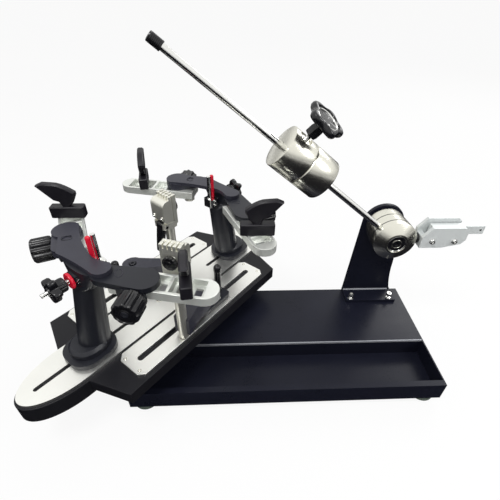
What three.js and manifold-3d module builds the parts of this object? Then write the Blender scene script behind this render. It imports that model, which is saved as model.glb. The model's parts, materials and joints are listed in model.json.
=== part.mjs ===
// Racket stringing machine of the drop-weight kind, in millimetres, +Z up.
// A folded steel base carries a turntable with two mounting towers and two string clamps,
// and a bracket with the drum, rod and weight that pull each string.
import * as THREE from 'three';
import { mergeVertices } from 'three/addons/utils/BufferGeometryUtils.js';
import Module from 'manifold-3d';

const wasm = await Module();
wasm.setup();

// Driving dimensions

const seatGap = 0.3; // clearance between pieces that touch in use
const cutOver = 1; // how far every cutter runs past the face that it opens

const base = {
  length: 470, // left to right
  deckDepth: 126, // raised deck, front to back
  trayDepth: 83, // tool tray in front of the deck
  height: 33, // folded wall
  sheet: 2,
  rimFold: 9, // lip folded inward along the tray's front wall
  rearFold: 26, // lip folded inward under the rear wall
};

const foot = { radius: 15, height: 12, flatRadius: 9, inset: 20 };

const pivot = {
  fromLeft: 52.3, // turning axis, from the left end of the base
  flangeRadius: 45,
  flangeHeight: 6,
  hubRadius: 31,
  turnAngle: 50, // degrees that the rail is turned from the base's length in the photo
};

const rail = {
  length: 498,
  width: 70,
  thickness: 4,
  tipLength: 73, // each end narrows over this length
  slotWidth: 6,
  slotInner: 84, // slots start this far from the turning axis
  slotLand: 20, // metal left between each slot and the end
  topAboveDeck: 62.5,
};

const sidePlate = {
  length: 270,
  width: 50.5,
  spaceToRail: 4.3,
  chamfer: 8,
  slotWidth: 9,
  slotLand: 15.5, // metal left between the slot and each end
};

const frame = {
  sheet: 3.5,
  length: 356, // over the wings, at the rail
  sideLength: 314, // along each long edge
  width: 191,
  flange: 20, // wings' edges are bent down by this
  channelLip: 3, // channel outline outside the rail's
  channelDepth: 27,
  hubRadius: 34,
};

const tower = {
  station: 148, // from the turning axis along the rail
  footLength: 66,
  footWidth: 60,
  footCorner: 24,
  footHeight: 8,
  saddleLength: 52,
  saddleWidth: 48,
  saddleHeight: 20,
  keyLength: 34,
  keyDepth: 3.4,
  columnInset: 8, // centre of the column's foot, inward of the station
  columnFootU: 22,
  columnFootV: 21,
  neckInset: 24,
  neckU: 18,
  neckV: 17,
  neckHeight: 108,
  headInset: 21,
  headU: 10,
  headV: 33,
  headRise: 7.5,
  armTop: 138,
  armThickness: 7.7,
};

const armEndDisc = { radius: 18.5, out: 5, ahead: 4.5 }; // from the knob's axis, beside the slider's centre line

const armRight = { jointInset: 30, jointOff: 36, jointRadius: 15, knobStation: 10 };

const link = {
  thickness: 5.7,
  innerInset: 35.5, // inner edge at the waist, just past the middle
  innerOff: 8,
  innerBow: 41.5, // inner edge's curve is drawn toward this inset
  innerBowOff: 32.5,
  outerInset: 18,
  shoulderInset: 12.5, // outer edge at its fullest
  shoulderOff: 33,
  lobeInset: 30,
  lobeOff: 32,
  lobeRadius: 12.5,
  ovalLong: 7,
  ovalShort: 4.5,
  ovalDepth: 1,
};

const slider = {
  axisInset: 50.5, // point on the slider's centre line, inward of the station
  axisOff: 64, // and across from the rail's centre
  splay: 27.6, // degrees from square to the rail
  width: 34,
  thickness: 12,
  rear: 26, // behind that point
  reach: 102, // ahead of it
  rim: 4,
  floor: 3.5,
  pocketPitch: 22,
  pocketCount: 4,
  windowLength: 9,
  windowWidth: 14,
};

const cheek = { depth: 20, wall: 6, ahead: 11, behind: 13, tail: 24, tailWall: 3 };

const pinionKnob = { radius: 16.5, length: 26, ribs: 12, ribDepth: 1.5, shaftRadius: 4, drop: 6, gap: 1.8 };

const hook = {
  station: 63, // along the slider
  blockLength: 48,
  blockWidth: 14,
  blockHeight: 18,
  blockBevel: 2.5,
  neckWidth: 10,
  padThickness: 10,
  padHeight: 36,
  padOut: 34,
  padIn: 17,
};

const support = {
  blockLength: 17,
  blockWidth: 17,
  blockHeight: 14,
  blockInset: 44, // centre of the block, inward of the station
  screwHeight: 123,
  screwRadius: 3.2,
  steelPinRadius: 3,
  steelPinOff: 3, // inward of the block's centre
  redPinRadius: 3.2,
  redPinOff: 3.8, // outward of it
  pinTop: 168,
};

const adjuster = {
  bossLength: 3,
  ringGap: 1,
  ringRadius: 10.5,
  ringWidth: 4,
  knobGap: 4,
  knobRadius: 16,
  knobHubRadius: 9,
  knobLength: 20,
  lobes: 5,
  tip: 9,
};

const clamp = {
  baseLength: 63,
  baseWidth: 36,
  baseHeight: 8,
  baseCorner: 6,
  baseShift: 8.5, // its middle, from the swing pin toward the lock
  keyLength: 28,
  lockOff: 30, // from the swing pin
  lockRadius: 6,
  lockTop: 61,
  lockStem: 3,
  armReach: 67.6, // swing pin to post
  armTop: 38,
  armPivotRadius: 17,
  armWaist: 11,
  armTipHalf: 12,
  armLip: 2, // seat reaches this far round the post
  pinRadius: 6,
  postRadius: 7.2,
  postFoot: 1.5,
  headFrom: 113,
};

const jaw = {
  width: 28,
  seatHeight: 10,
  height: 52, // whole head
  fixedThickness: 6.5,
  movingThickness: 18,
  opening: 0.7,
  shoulder: 9, // moving jaw's rounded outer edge
  heel: 5, // its lower outer edge is drawn in
  combThickness: 6,
  teeth: 5,
  toothHeight: 6,
  toothGap: 1.8,
  dialRadius: 10.5,
  dialThickness: 6,
  dialHeight: 29, // above the head's foot
  dialRibs: 16,
  dialRibDepth: 0.9,
};

const lever = {
  length: 46, width: 13, rootRadius: 4.6, tipRadius: 3.2, bow: 9, swingOut: 8, pinRadius: 2.2, eyeInset: 4, eyeRise: 5,
};

const bracket = {
  right: 219, // right end of its foot, from the middle of the base
  width: 91.5,
  footDepth: 36,
  sheet: 6,
  topRadius: 34,
  waist: 77.5,
  waistShare: 0.45, // height of the narrowest place, of the drum's height
  boreRadius: 8.6,
};

const drum = {
  height: 156, // axis above the deck
  radius: 33.5, // at its front ridge
  backRadius: 30.5,
  length: 48.5, // from the back to the ridge
  coneLength: 8.5,
  coneRadius: 17,
  faceRadius: 14.5,
  faceDepth: 3,
  socketRadius: 6,
  socketDepth: 5,
  bearingWidth: 3,
  grooveWidth: 1.4,
  grooveDepth: 1.6,
  groovePitch: 18.5,
  pullStation: 38.5, // rod and gripper are centred this far from its back
  bossRadius: 14,
  bossLength: 4,
  shaftRadius: 8,
};

const rod = {
  radius: 4.6,
  length: 427, // free end, from the drum's axis
  socket: 16,
  rise: 38.4, // degrees above level in the photo
  capRadius: 6.3,
  capLength: 17,
  capDepth: 11,
};

const weight = {
  radius: 30,
  inner: 160, // inner face, from the drum's axis
  length: 79,
  bevel: 1.5,
  boreRadius: 5.1,
  turn: 15, // degrees that the knob leans to the front
  knobStation: 62, // from the inner face
  spotRadius: 10,
  spotDepth: 3,
  screwRadius: 3.4,
  screwShow: 9,
  stemRadius: 9,
  stemLength: 19,
  knobRadius: 28,
  knobThickness: 12,
  knobLobes: 5,
  knobLobeDepth: 6,
};

const gripper = {
  depth: 26, // over both plates
  plate: 5.5,
  length: 70,
  rearLength: 67,
  height: 36,
  below: 11, // plates reach this far under the drum's axis
  noseRise: 17,
  noseCut: 13,
  tailCut: 35,
  tailRise: 7,
  bridge: 9,
  rearLift: 5.5,
  boltRadius: 3,
  boltRise: 1.3, // bolts' centres above the drum's axis
  boltInset: 17.5, // from each end of the front plate
  spacerRadius: 8,
  spacerLength: 7,
  jawLength: 99,
  jawThickness: 10,
  jawHeight: 19,
  jawEndHeight: 14.5, // of the end that stands out of the plates
  jawTail: 6,
};

// What follows from them

const deckTop = foot.height + base.height;
const baseDepth = base.deckDepth + base.trayDepth;
const deckFront = -base.deckDepth / 2;
const trayFront = deckFront - base.trayDepth;
const deckBack = base.deckDepth / 2;
const pivotX = pivot.fromLeft - base.length / 2;
const railTop = deckTop + rail.topAboveDeck; // level that the turntable's heights start from
const railBottom = -rail.thickness;
const frameTop = railBottom - seatGap;
const plateCentre = rail.width / 2 + sidePlate.spaceToRail + sidePlate.width / 2;
const sliderTop = tower.armTop - tower.armThickness - seatGap;
const sliderBottom = sliderTop - slider.thickness;
const hookSeat = sliderTop + seatGap;
const splay = THREE.MathUtils.degToRad(slider.splay);
const drumHeight = deckTop + drum.height;
const bracketBack = deckBack;
const bracketFront = bracketBack - bracket.sheet;
const bracketCentreX = bracket.right - bracket.width / 2;
const drumX = bracketCentreX - (bracket.width - bracket.waist) / 4;
const drumBack = bracketFront - drum.bossLength - seatGap;
const pullPlane = drumBack - drum.pullStation;

// Materials

const finish = (color, roughness, metalness) =>
  new THREE.MeshStandardMaterial({ color, roughness, metalness });
const powderBlack = finish(0x17171b, 0.55, 0.2);
const satinBlack = finish(0x26262c, 0.5, 0.3);
const slateBlack = finish(0x43434c, 0.6, 0.3);
const rubber = finish(0x4c5650, 0.85, 0);
const plasticBlack = finish(0x141416, 0.4, 0);
const brushedSteel = finish(0xd9d8d2, 0.3, 1);
const castAluminium = finish(0xb4b8b2, 0.4, 0.9);
const nickel = finish(0xc9c6b8, 0.2, 1);
const chrome = finish(0xd2d2cc, 0.1, 1);
const paleAluminium = finish(0xc7cccc, 0.35, 0.9);
const red = finish(0xd4152c, 0.35, 0.2);

// Solids from three.js geometry, joined and cut

const weld = 1e-5;

function toSolid(geometry) {
  const bare = geometry.clone();
  for (const name of Object.keys(bare.attributes)) {
    if (name !== 'position') bare.deleteAttribute(name);
  }
  const closed = mergeVertices(bare, weld);
  const triVerts = new Uint32Array(closed.index.array);
  const vertProperties = new Float32Array(closed.attributes.position.array);
  return new wasm.Manifold(new wasm.Mesh({ numProp: 3, vertProperties, triVerts }));
}

function toGeometry(solid) {
  const mesh = solid.getMesh();
  const geometry = new THREE.BufferGeometry();
  geometry.setAttribute('position', new THREE.BufferAttribute(mesh.vertProperties, 3));
  geometry.setIndex(new THREE.BufferAttribute(mesh.triVerts, 1));
  geometry.computeVertexNormals();
  return geometry;
}

const join = (...geometries) => toGeometry(geometries.map(toSolid).reduce((all, next) => all.add(next)));

const cut = (body, ...tools) =>
  toGeometry(tools.map(toSolid).reduce((left, tool) => left.subtract(tool), toSolid(body)));

function piece(parent, name, geometry, material) {
  const mesh = new THREE.Mesh(geometry, material);
  mesh.name = name;
  parent.add(mesh);
  return mesh;
}

function group(parent, name, x, y, z, turn) {
  const node = new THREE.Group();
  node.name = name;
  node.position.set(x, y, z);
  node.rotation.z = turn;
  parent.add(node);
  return node;
}

// Outlines

const point = (x, y) => new THREE.Vector2(x, y);

function roundedRectangle(length, width, radius) {
  const x = length / 2 - radius;
  const y = width / 2 - radius;
  const shape = new THREE.Shape();
  shape.absarc(x, -y, radius, -Math.PI / 2, 0);
  shape.absarc(x, y, radius, 0, Math.PI / 2);
  shape.absarc(-x, y, radius, Math.PI / 2, Math.PI);
  shape.absarc(-x, -y, radius, Math.PI, 1.5 * Math.PI);
  shape.closePath();
  return shape;
}

function chamferedRectangle(length, width, chamfer) {
  const x = length / 2;
  const y = width / 2;
  return new THREE.Shape([
    point(x - chamfer, -y), point(x, chamfer - y), point(x, y - chamfer), point(x - chamfer, y),
    point(chamfer - x, y), point(-x, y - chamfer), point(-x, chamfer - y), point(chamfer - x, -y),
  ]);
}

// Outline round two circles, the way a belt goes round two pulleys
function beltShape(ax, ay, ra, bx, by, rb) {
  const along = Math.atan2(by - ay, bx - ax);
  const lean = Math.acos((ra - rb) / Math.hypot(bx - ax, by - ay));
  const shape = new THREE.Shape();
  shape.absarc(ax, ay, ra, along + lean, along - lean + 2 * Math.PI);
  shape.absarc(bx, by, rb, along - lean, along + lean);
  shape.closePath();
  return shape;
}

// Round outline with evenly spaced hollows or lobes
function wavyCircle(radius, depth, count, stepsEach) {
  const points = [];
  for (let i = 0; i < count * stepsEach; i += 1) {
    const angle = (2 * Math.PI * i) / (count * stepsEach);
    const r = radius - (depth / 2) * (1 - Math.cos(angle * count));
    points.push(point(r * Math.cos(angle), r * Math.sin(angle)));
  }
  return new THREE.Shape(points);
}

const mirrorX = (shape, sign, divisions) =>
  new THREE.Shape(shape.getPoints(divisions).map((p) => point(sign * p.x, p.y)));

const mirrorY = (shape, sign, divisions) =>
  new THREE.Shape(shape.getPoints(divisions).map((p) => point(p.x, sign * p.y)));

function circleHole(shape, x, y, radius) {
  const hole = new THREE.Path();
  hole.absarc(x, y, radius, 0, 2 * Math.PI);
  shape.holes.push(hole);
}

function slotHole(shape, centre, length, width) {
  const reach = (length - width) / 2;
  const hole = new THREE.Path();
  hole.absarc(centre + reach, 0, width / 2, -Math.PI / 2, Math.PI / 2);
  hole.absarc(centre - reach, 0, width / 2, Math.PI / 2, 1.5 * Math.PI);
  hole.closePath();
  shape.holes.push(hole);
}

// Bodies

const arcSteps = 5;
const roundSteps = 20;

// Plate with its outline level, between two heights, its edges broken by the bevel
function plate(shape, bottom, top, bevel = 0, steps = arcSteps) {
  const geometry = new THREE.ExtrudeGeometry(shape, {
    depth: top - bottom - 2 * bevel,
    curveSegments: steps,
    bevelEnabled: bevel > 0,
    bevelThickness: bevel,
    bevelSize: bevel,
    bevelOffset: -bevel,
    bevelSegments: 1,
  });
  return geometry.translate(0, 0, bottom + bevel);
}

function block(length, width, height, x, y, z) {
  return new THREE.BoxGeometry(length, width, height).translate(x, y, z);
}

// Revolved body about Z; the profile gives radius and height
function turned(profile, steps = roundSteps) {
  const points = profile.map(([radius, height]) => point(radius, height));
  return new THREE.LatheGeometry(points, steps).rotateX(Math.PI / 2);
}

const disc = (radius, bottom, top, steps = roundSteps) =>
  new THREE.CylinderGeometry(radius, radius, top - bottom, steps)
    .rotateX(Math.PI / 2)
    .translate(0, 0, (top + bottom) / 2);

const toX = (geometry) => geometry.rotateY(Math.PI / 2);
const toY = (geometry) => geometry.rotateX(-Math.PI / 2);

// Skin through level ellipses, each given by its centre, half widths and height, with flat ends
function loft(rings, steps = roundSteps) {
  const positions = [];
  const index = [];
  for (const ring of rings) {
    for (let i = 0; i < steps; i += 1) {
      const angle = (2 * Math.PI * i) / steps;
      positions.push(ring.x + ring.a * Math.cos(angle), ring.b * Math.sin(angle), ring.z);
    }
  }
  for (let level = 0; level < rings.length - 1; level += 1) {
    for (let i = 0; i < steps; i += 1) {
      const here = level * steps + i;
      const beside = level * steps + ((i + 1) % steps);
      index.push(here, beside, beside + steps, here, beside + steps, here + steps);
    }
  }
  const lastRing = (rings.length - 1) * steps;
  for (let i = 1; i < steps - 1; i += 1) {
    index.push(0, i + 1, i, lastRing, lastRing + i, lastRing + i + 1);
  }
  const geometry = new THREE.BufferGeometry();
  geometry.setAttribute('position', new THREE.Float32BufferAttribute(positions, 3));
  geometry.setIndex(index);
  geometry.computeVertexNormals();
  return geometry;
}

// Base: one bent sheet with its two end walls, four feet and the bearing

function basePan() {
  const s = base.sheet;
  const floor = foot.height;
  const ribbon = new THREE.Shape([
    point(deckBack - base.rearFold, floor), point(deckBack, floor), point(deckBack, deckTop),
    point(deckFront, deckTop), point(deckFront, floor + s), point(trayFront + s, floor + s),
    point(trayFront + s, deckTop - s), point(trayFront + base.rimFold, deckTop - s),
    point(trayFront + base.rimFold, deckTop), point(trayFront, deckTop), point(trayFront, floor),
    point(deckFront + s, floor), point(deckFront + s, deckTop - s), point(deckBack - s, deckTop - s),
    point(deckBack - s, floor + s), point(deckBack - base.rearFold, floor + s),
  ]);
  const bent = new THREE.ExtrudeGeometry(ribbon, { depth: base.length, bevelEnabled: false });
  bent.rotateX(Math.PI / 2).rotateZ(Math.PI / 2).translate(-base.length / 2, 0, 0);
  const wallX = (base.length - s) / 2;
  const wallY = (deckBack + trayFront) / 2;
  const wallZ = floor + base.height / 2;
  const walls = [-wallX, wallX].map((x) => block(s, baseDepth, base.height, x, wallY, wallZ));
  return join(bent, ...walls);
}

function rubberFoot() {
  const shoulder = foot.height / 2;
  return turned([[0, 0], [foot.flatRadius, 0], [foot.radius, shoulder], [foot.radius, foot.height], [0, foot.height]]);
}

function buildBase(root) {
  piece(root, 'base_pan', basePan(), powderBlack);
  const x = base.length / 2 - foot.inset;
  const places = {
    foot_front_left: [-x, trayFront + foot.inset],
    foot_front_right: [x, trayFront + foot.inset],
    foot_rear_left: [-x, deckBack - foot.radius],
    foot_rear_right: [x, deckBack - foot.radius],
  };
  for (const [name, [footX, footY]] of Object.entries(places)) {
    piece(root, name, rubberFoot(), rubber).position.set(footX, footY, 0);
  }
  const bearingTop = railTop + frameTop - frame.channelDepth - seatGap;
  const bearing = turned([
    [0, deckTop], [pivot.flangeRadius, deckTop], [pivot.flangeRadius, deckTop + pivot.flangeHeight],
    [pivot.hubRadius, deckTop + pivot.flangeHeight], [pivot.hubRadius, bearingTop], [0, bearingTop],
  ]);
  piece(root, 'pivot_base', bearing, satinBlack).position.set(pivotX, 0, 0);
}

// Turntable: black frame with bent wings, rail and two side plates

// The rail's ends are half ellipses; grow widens the whole outline
function railOutline(grow) {
  const straight = rail.length / 2 - rail.tipLength;
  const long = rail.tipLength + grow;
  const half = rail.width / 2 + grow;
  const shape = new THREE.Shape();
  shape.absellipse(straight, 0, long, half, -Math.PI / 2, Math.PI / 2);
  shape.absellipse(-straight, 0, long, half, Math.PI / 2, 1.5 * Math.PI);
  shape.closePath();
  return shape;
}

function wingOutline(inset) {
  const tip = frame.length / 2 - inset;
  const corner = frame.sideLength / 2 - inset;
  const side = frame.width / 2 - inset;
  const root = rail.width / 2;
  return new THREE.Shape([
    point(tip, -root), point(tip, root), point(corner, side), point(-corner, side),
    point(-tip, root), point(-tip, -root), point(-corner, -side), point(corner, -side),
  ]);
}

function turntableFrame() {
  const roof = frameTop - frame.sheet;
  const channelFoot = frameTop - frame.channelDepth;
  const wingFoot = frameTop - frame.flange;
  const inside = railOutline(frame.channelLip - frame.sheet);
  const hollow = plate(inside, channelFoot - cutOver, roof, 0, roundSteps);
  const wings = cut(
    plate(wingOutline(0), wingFoot, frameTop),
    plate(wingOutline(frame.sheet), wingFoot - cutOver, roof),
    hollow,
  );
  const channel = cut(plate(railOutline(frame.channelLip), channelFoot, frameTop, 0, roundSteps), hollow);
  return join(wings, channel, disc(frame.hubRadius, channelFoot, frameTop));
}

function centreRail() {
  const shape = railOutline(0);
  const slotOuter = rail.length / 2 - rail.slotLand;
  const middle = (rail.slotInner + slotOuter) / 2;
  const length = slotOuter - rail.slotInner;
  slotHole(shape, middle, length, rail.slotWidth);
  slotHole(shape, -middle, length, rail.slotWidth);
  return plate(shape, railBottom, 0, 0, roundSteps);
}

function slottedPlate() {
  const shape = chamferedRectangle(sidePlate.length, sidePlate.width, sidePlate.chamfer);
  slotHole(shape, 0, sidePlate.length - 2 * sidePlate.slotLand, sidePlate.slotWidth);
  return plate(shape, railBottom, 0);
}

// Mounting towers. out is 1 on the rear tower and -1 on the front one, which is its mirror image.
// Inside a tower, x is out times the distance outward from its station, and y is across the rail.

function towerCasting(out) {
  const lift = seatGap;
  const footPlate = plate(
    roundedRectangle(tower.footLength, tower.footWidth, tower.footCorner), lift, tower.footHeight,
  );
  const saddle = plate(
    roundedRectangle(tower.saddleLength, tower.saddleWidth, tower.footCorner), lift, tower.saddleHeight,
    tower.footHeight / 2,
  );
  const keyWidth = rail.slotWidth - 2 * seatGap;
  const keyHeight = tower.keyDepth + tower.footHeight / 2;
  const key = block(tower.keyLength, keyWidth, keyHeight, 0, 0, keyHeight / 2 - tower.keyDepth);
  const headFoot = tower.neckHeight + tower.headRise;
  const column = loft([
    { x: -out * tower.columnInset, a: tower.columnFootU, b: tower.columnFootV, z: tower.footHeight },
    { x: -out * tower.neckInset, a: tower.neckU, b: tower.neckV, z: tower.neckHeight },
    { x: -out * tower.headInset, a: tower.headU, b: (tower.headV + tower.neckV) / 2, z: headFoot },
    { x: -out * tower.headInset, a: tower.headU, b: tower.headV, z: tower.armTop - tower.armThickness },
    { x: -out * tower.headInset, a: tower.headU, b: tower.headV, z: tower.armTop },
  ]);
  const end = armEnd(out, -1);
  const belt = beltShape(
    -out * armRight.jointInset, -armRight.jointOff, armRight.jointRadius, end.x, end.y, armEndDisc.radius,
  );
  const arm = plate(belt, tower.armTop - tower.armThickness, tower.armTop, 0, roundSteps / 2);
  const bossX = out * (adjuster.bossLength - tower.headInset + tower.headU) - (out * adjuster.bossLength) / 2;
  const boss = block(
    adjuster.bossLength + tower.headU, support.blockWidth, support.blockHeight,
    bossX - (out * tower.headU) / 2, 0, support.screwHeight,
  );
  const screwHole = toX(disc(support.screwRadius + seatGap, -tower.station, tower.station, roundSteps / 2));
  screwHole.translate(0, 0, support.screwHeight);
  const body = join(footPlate, saddle, key, column, arm, boss, placeOnArm(cheekBody(out, -1), out, -1));
  return cut(body, screwHole, placeOnArm(pinionBore(out, -1), out, -1));
}

// Arm frame: origin on the slider's centre line, x out to the knob, y along the slider for hand 1
const armStation = (across) => (across > 0 ? 0 : armRight.knobStation);

function armPlace(out, across) {
  return {
    x: -out * slider.axisInset,
    y: across * slider.axisOff,
    turn: Math.atan2(across * Math.sin(splay), out * Math.cos(splay)),
    hand: out * across,
  };
}

function placeOnArm(geometry, out, across) {
  const place = armPlace(out, across);
  return geometry.rotateZ(place.turn).translate(place.x, place.y, 0);
}

// Centre of the round end of an arm plate, in the tower's frame
function armEnd(out, across) {
  const place = armPlace(out, across);
  const along = place.hand * (armStation(across) + armEndDisc.ahead);
  const c = Math.cos(place.turn);
  const s = Math.sin(place.turn);
  return point(place.x + c * armEndDisc.out - s * along, place.y + s * armEndDisc.out + c * along);
}

// Wall beside the slider that carries the knob's shaft
function cheekBody(out, across) {
  const { hand } = armPlace(out, across);
  const inner = slider.width / 2 + seatGap;
  const from = armStation(across);
  const shape = new THREE.Shape([
    point(inner, hand * (from + cheek.ahead)), point(inner + cheek.wall, hand * (from + cheek.ahead)),
    point(inner + cheek.wall, hand * (from - cheek.behind)), point(inner + cheek.tailWall, hand * (from - cheek.tail)),
    point(inner, hand * (from - cheek.tail)),
  ]);
  const top = tower.armTop - tower.armThickness / 2;
  return plate(shape, top - cheek.depth, top);
}

function pinionBore(out, across) {
  const { hand } = armPlace(out, across);
  const bore = toX(disc(pinionKnob.shaftRadius + seatGap, 0, slider.width + cheek.wall, roundSteps / 2));
  return bore.translate(0, hand * armStation(across), sliderTop - pinionKnob.drop);
}

// Curved upper link: left arm, narrow waist beside the pins and a lobe lapped over the right arm
function linkOutline() {
  const end = armEnd(1, 1);
  const lobeX = -link.lobeInset;
  const shape = new THREE.Shape();
  shape.absarc(end.x, end.y, armEndDisc.radius, -splay, Math.PI);
  shape.quadraticCurveTo(-link.innerBow, link.innerBowOff, -link.innerInset, -link.innerOff);
  shape.quadraticCurveTo(-link.innerInset, -link.lobeOff / 2, lobeX - link.lobeRadius, -link.lobeOff);
  shape.absarc(lobeX, -link.lobeOff, link.lobeRadius, Math.PI, 2 * Math.PI);
  shape.quadraticCurveTo(-link.outerInset, 0, -link.shoulderInset, link.shoulderOff);
  shape.closePath();
  return shape;
}

function upperLink(out) {
  const shape = mirrorX(linkOutline(), out, roundSteps / 2);
  const bottom = tower.armTop + seatGap;
  const top = bottom + link.thickness;
  const skin = plate(shape, bottom, top);
  const end = armEnd(out, 1);
  const under = tower.armTop - tower.armThickness;
  const padOff = tower.headV + link.lobeRadius;
  const pad = plate(beltShape(
    end.x, end.y, armEndDisc.radius, -out * (link.innerInset - link.lobeRadius), padOff, link.lobeRadius - cheek.tailWall,
  ), under, bottom + link.thickness / 2, 0, roundSteps / 2);
  const oval = new THREE.Shape();
  oval.absellipse(0, 0, link.ovalLong, link.ovalShort, 0, 2 * Math.PI);
  const dimple = plate(oval, top - link.ovalDepth, top + cutOver, 0, roundSteps / 2);
  dimple.translate(-out * (link.innerInset + link.ovalShort / 2), end.y - armEndDisc.radius, 0);
  const body = join(skin, pad, placeOnArm(cheekBody(out, 1), out, 1));
  return cut(body, placeOnArm(pinionBore(out, 1), out, 1), dimple);
}

// Cast slider with a rim, ribs and a row of windows
function sliderBody(hand) {
  const half = slider.width / 2;
  const shape = new THREE.Shape();
  shape.moveTo(-half, -slider.rear);
  shape.lineTo(half, -slider.rear);
  shape.absarc(0, slider.reach - half, half, 0, Math.PI);
  shape.closePath();
  const body = plate(mirrorY(shape, hand, arcSteps), sliderBottom, sliderTop);
  const tools = [];
  const pocketWidth = slider.width - 2 * slider.rim;
  const pocketLength = slider.pocketPitch - slider.rim;
  for (let i = 0; i < slider.pocketCount; i += 1) {
    const y = hand * (i * slider.pocketPitch + slider.pocketPitch / 2);
    const pocketTop = sliderTop + cutOver;
    const pocketHeight = pocketTop - sliderBottom - slider.floor;
    tools.push(block(pocketWidth, pocketLength, pocketHeight, 0, y, pocketTop - pocketHeight / 2));
    tools.push(block(slider.windowWidth, slider.windowLength, 2 * slider.thickness, 0, y, sliderBottom));
  }
  return cut(body, ...tools);
}

function ribbedKnob() {
  const shape = wavyCircle(pinionKnob.radius, pinionKnob.ribDepth, pinionKnob.ribs, 4);
  const inner = slider.width / 2 + 2 * seatGap;
  const from = slider.width / 2 + seatGap + cheek.wall + pinionKnob.gap;
  const grip = toX(plate(shape, from, from + pinionKnob.length, pinionKnob.ribDepth));
  const shaft = toX(disc(pinionKnob.shaftRadius, inner, from + pinionKnob.gap, roundSteps / 2));
  return join(grip, shaft);
}

// Shoulder hook: a block across the slider, a neck and a pad that leans outward
// Corners of the pad, each as a share of its reach and a share of its height
const innerShares = [[0.62, 0.13], [1, 0.48], [1, 0.6]];
const crownShare = [0.31, 0.97];
const outerShares = [[0.73, 1], [1, 0.89], [0.44, 0.27], [0.23, 0.2]];

function shoulderHook() {
  const top = hookSeat + hook.blockHeight;
  const foundation = plate(
    roundedRectangle(hook.blockLength, hook.blockWidth, hook.blockBevel), hookSeat, top, hook.blockBevel / 2,
  );
  const h = hook.padHeight;
  const neck = hook.neckWidth / 2;
  const lower = -hook.blockBevel;
  const pad = new THREE.Shape();
  pad.moveTo(-neck, lower);
  pad.lineTo(-neck, 0);
  for (const [reach, rise] of innerShares) pad.lineTo(-hook.padIn * reach, h * rise);
  const [crownReach, crownRise] = crownShare;
  pad.quadraticCurveTo(0, h * crownRise, hook.padOut * crownReach, h * crownRise);
  for (const [reach, rise] of outerShares) pad.lineTo(hook.padOut * reach, h * rise);
  pad.lineTo(neck, 0);
  pad.lineTo(neck, lower);
  const thick = plate(pad, -hook.padThickness / 2, hook.padThickness / 2, hook.padThickness / 5);
  thick.rotateX(Math.PI / 2).translate(0, 0, top);
  return join(foundation, thick);
}

function supportCarriage(out) {
  const centre = -out * support.blockInset;
  const half = support.blockHeight / 2;
  const body = plate(
    roundedRectangle(support.blockLength, support.blockWidth, support.steelPinRadius),
    support.screwHeight - half, support.screwHeight + half,
  ).translate(centre, 0, 0);
  const pinX = centre - out * support.steelPinOff;
  const pin = disc(support.steelPinRadius, support.screwHeight + half / 2, support.pinTop, roundSteps / 2);
  const reach = support.blockLength - support.steelPinRadius;
  const boreFrom = centre + (out * support.blockLength) / 2 + out * cutOver;
  const bore = toX(disc(support.screwRadius + seatGap, 0, reach, roundSteps / 2));
  if (out > 0) bore.translate(-reach, 0, 0);
  bore.translate(boreFrom, 0, support.screwHeight);
  return cut(join(body, pin.translate(pinX, 0, 0)), bore);
}

function supportPin() {
  const foot = support.screwHeight + support.blockHeight / 2 + seatGap;
  const shoulder = support.pinTop - support.redPinRadius / 2;
  return turned([
    [0, foot], [support.redPinRadius, foot], [support.redPinRadius, shoulder],
    [support.redPinRadius / 2, support.pinTop], [0, support.pinTop],
  ], roundSteps / 2);
}

// Distances outward from the station along the adjusting screw
const bossFace = tower.headU - tower.headInset + adjuster.bossLength;
const ringFrom = bossFace + adjuster.ringGap;
const knobFrom = ringFrom + adjuster.ringWidth + adjuster.knobGap;
const screwInner = -support.blockInset - support.blockLength / 2 + support.steelPinRadius + adjuster.knobGap;
const screwOuter = knobFrom + adjuster.knobLength + adjuster.tip;

// Screw with its lobed knob, built along x; the front tower's is turned half round
function adjusterKnob() {
  const grip = plate(
    wavyCircle(adjuster.knobRadius, adjuster.knobRadius / 3, adjuster.lobes, 6),
    knobFrom + adjuster.knobLength / 2, knobFrom + adjuster.knobLength, seatGap,
  );
  const hub = disc(adjuster.knobHubRadius, knobFrom, knobFrom + adjuster.knobLength, roundSteps / 2);
  const screw = disc(support.screwRadius, screwInner, screwOuter, roundSteps / 2);
  return toX(join(grip, hub, screw));
}

function adjusterRing() {
  const bore = support.screwRadius + seatGap;
  const to = ringFrom + adjuster.ringWidth;
  const bevel = adjuster.ringWidth / 4;
  return toX(turned([
    [bore, ringFrom], [adjuster.ringRadius - bevel, ringFrom], [adjuster.ringRadius, ringFrom + bevel],
    [adjuster.ringRadius, to - bevel], [adjuster.ringRadius - bevel, to], [bore, to], [bore, ringFrom],
  ]));
}

function buildArm(towerGroup, prefix, out, across, hookAngle) {
  const side = across > 0 ? 'left' : 'right';
  const place = armPlace(out, across);
  const arm = group(towerGroup, `${prefix}_${side}_arm_axis`, place.x, place.y, 0, place.turn);
  const slide = group(arm, `${prefix}_${side}_slide`, 0, 0, 0, 0);
  piece(slide, `${prefix}_${side}_slider`, sliderBody(place.hand), castAluminium);
  const knobAxis = group(
    arm, `${prefix}_${side}_knob_axis`, 0, place.hand * armStation(across), sliderTop - pinionKnob.drop, 0,
  );
  piece(knobAxis, `${prefix}_${side}_knob`, ribbedKnob(), plasticBlack);
  const hookTurn = THREE.MathUtils.degToRad(hookAngle);
  const hookAxis = group(slide, `${prefix}_${side}_hook_axis`, 0, place.hand * hook.station, 0, hookTurn);
  piece(hookAxis, `${prefix}_${side}_hook`, shoulderHook(), plasticBlack);
}

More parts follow.
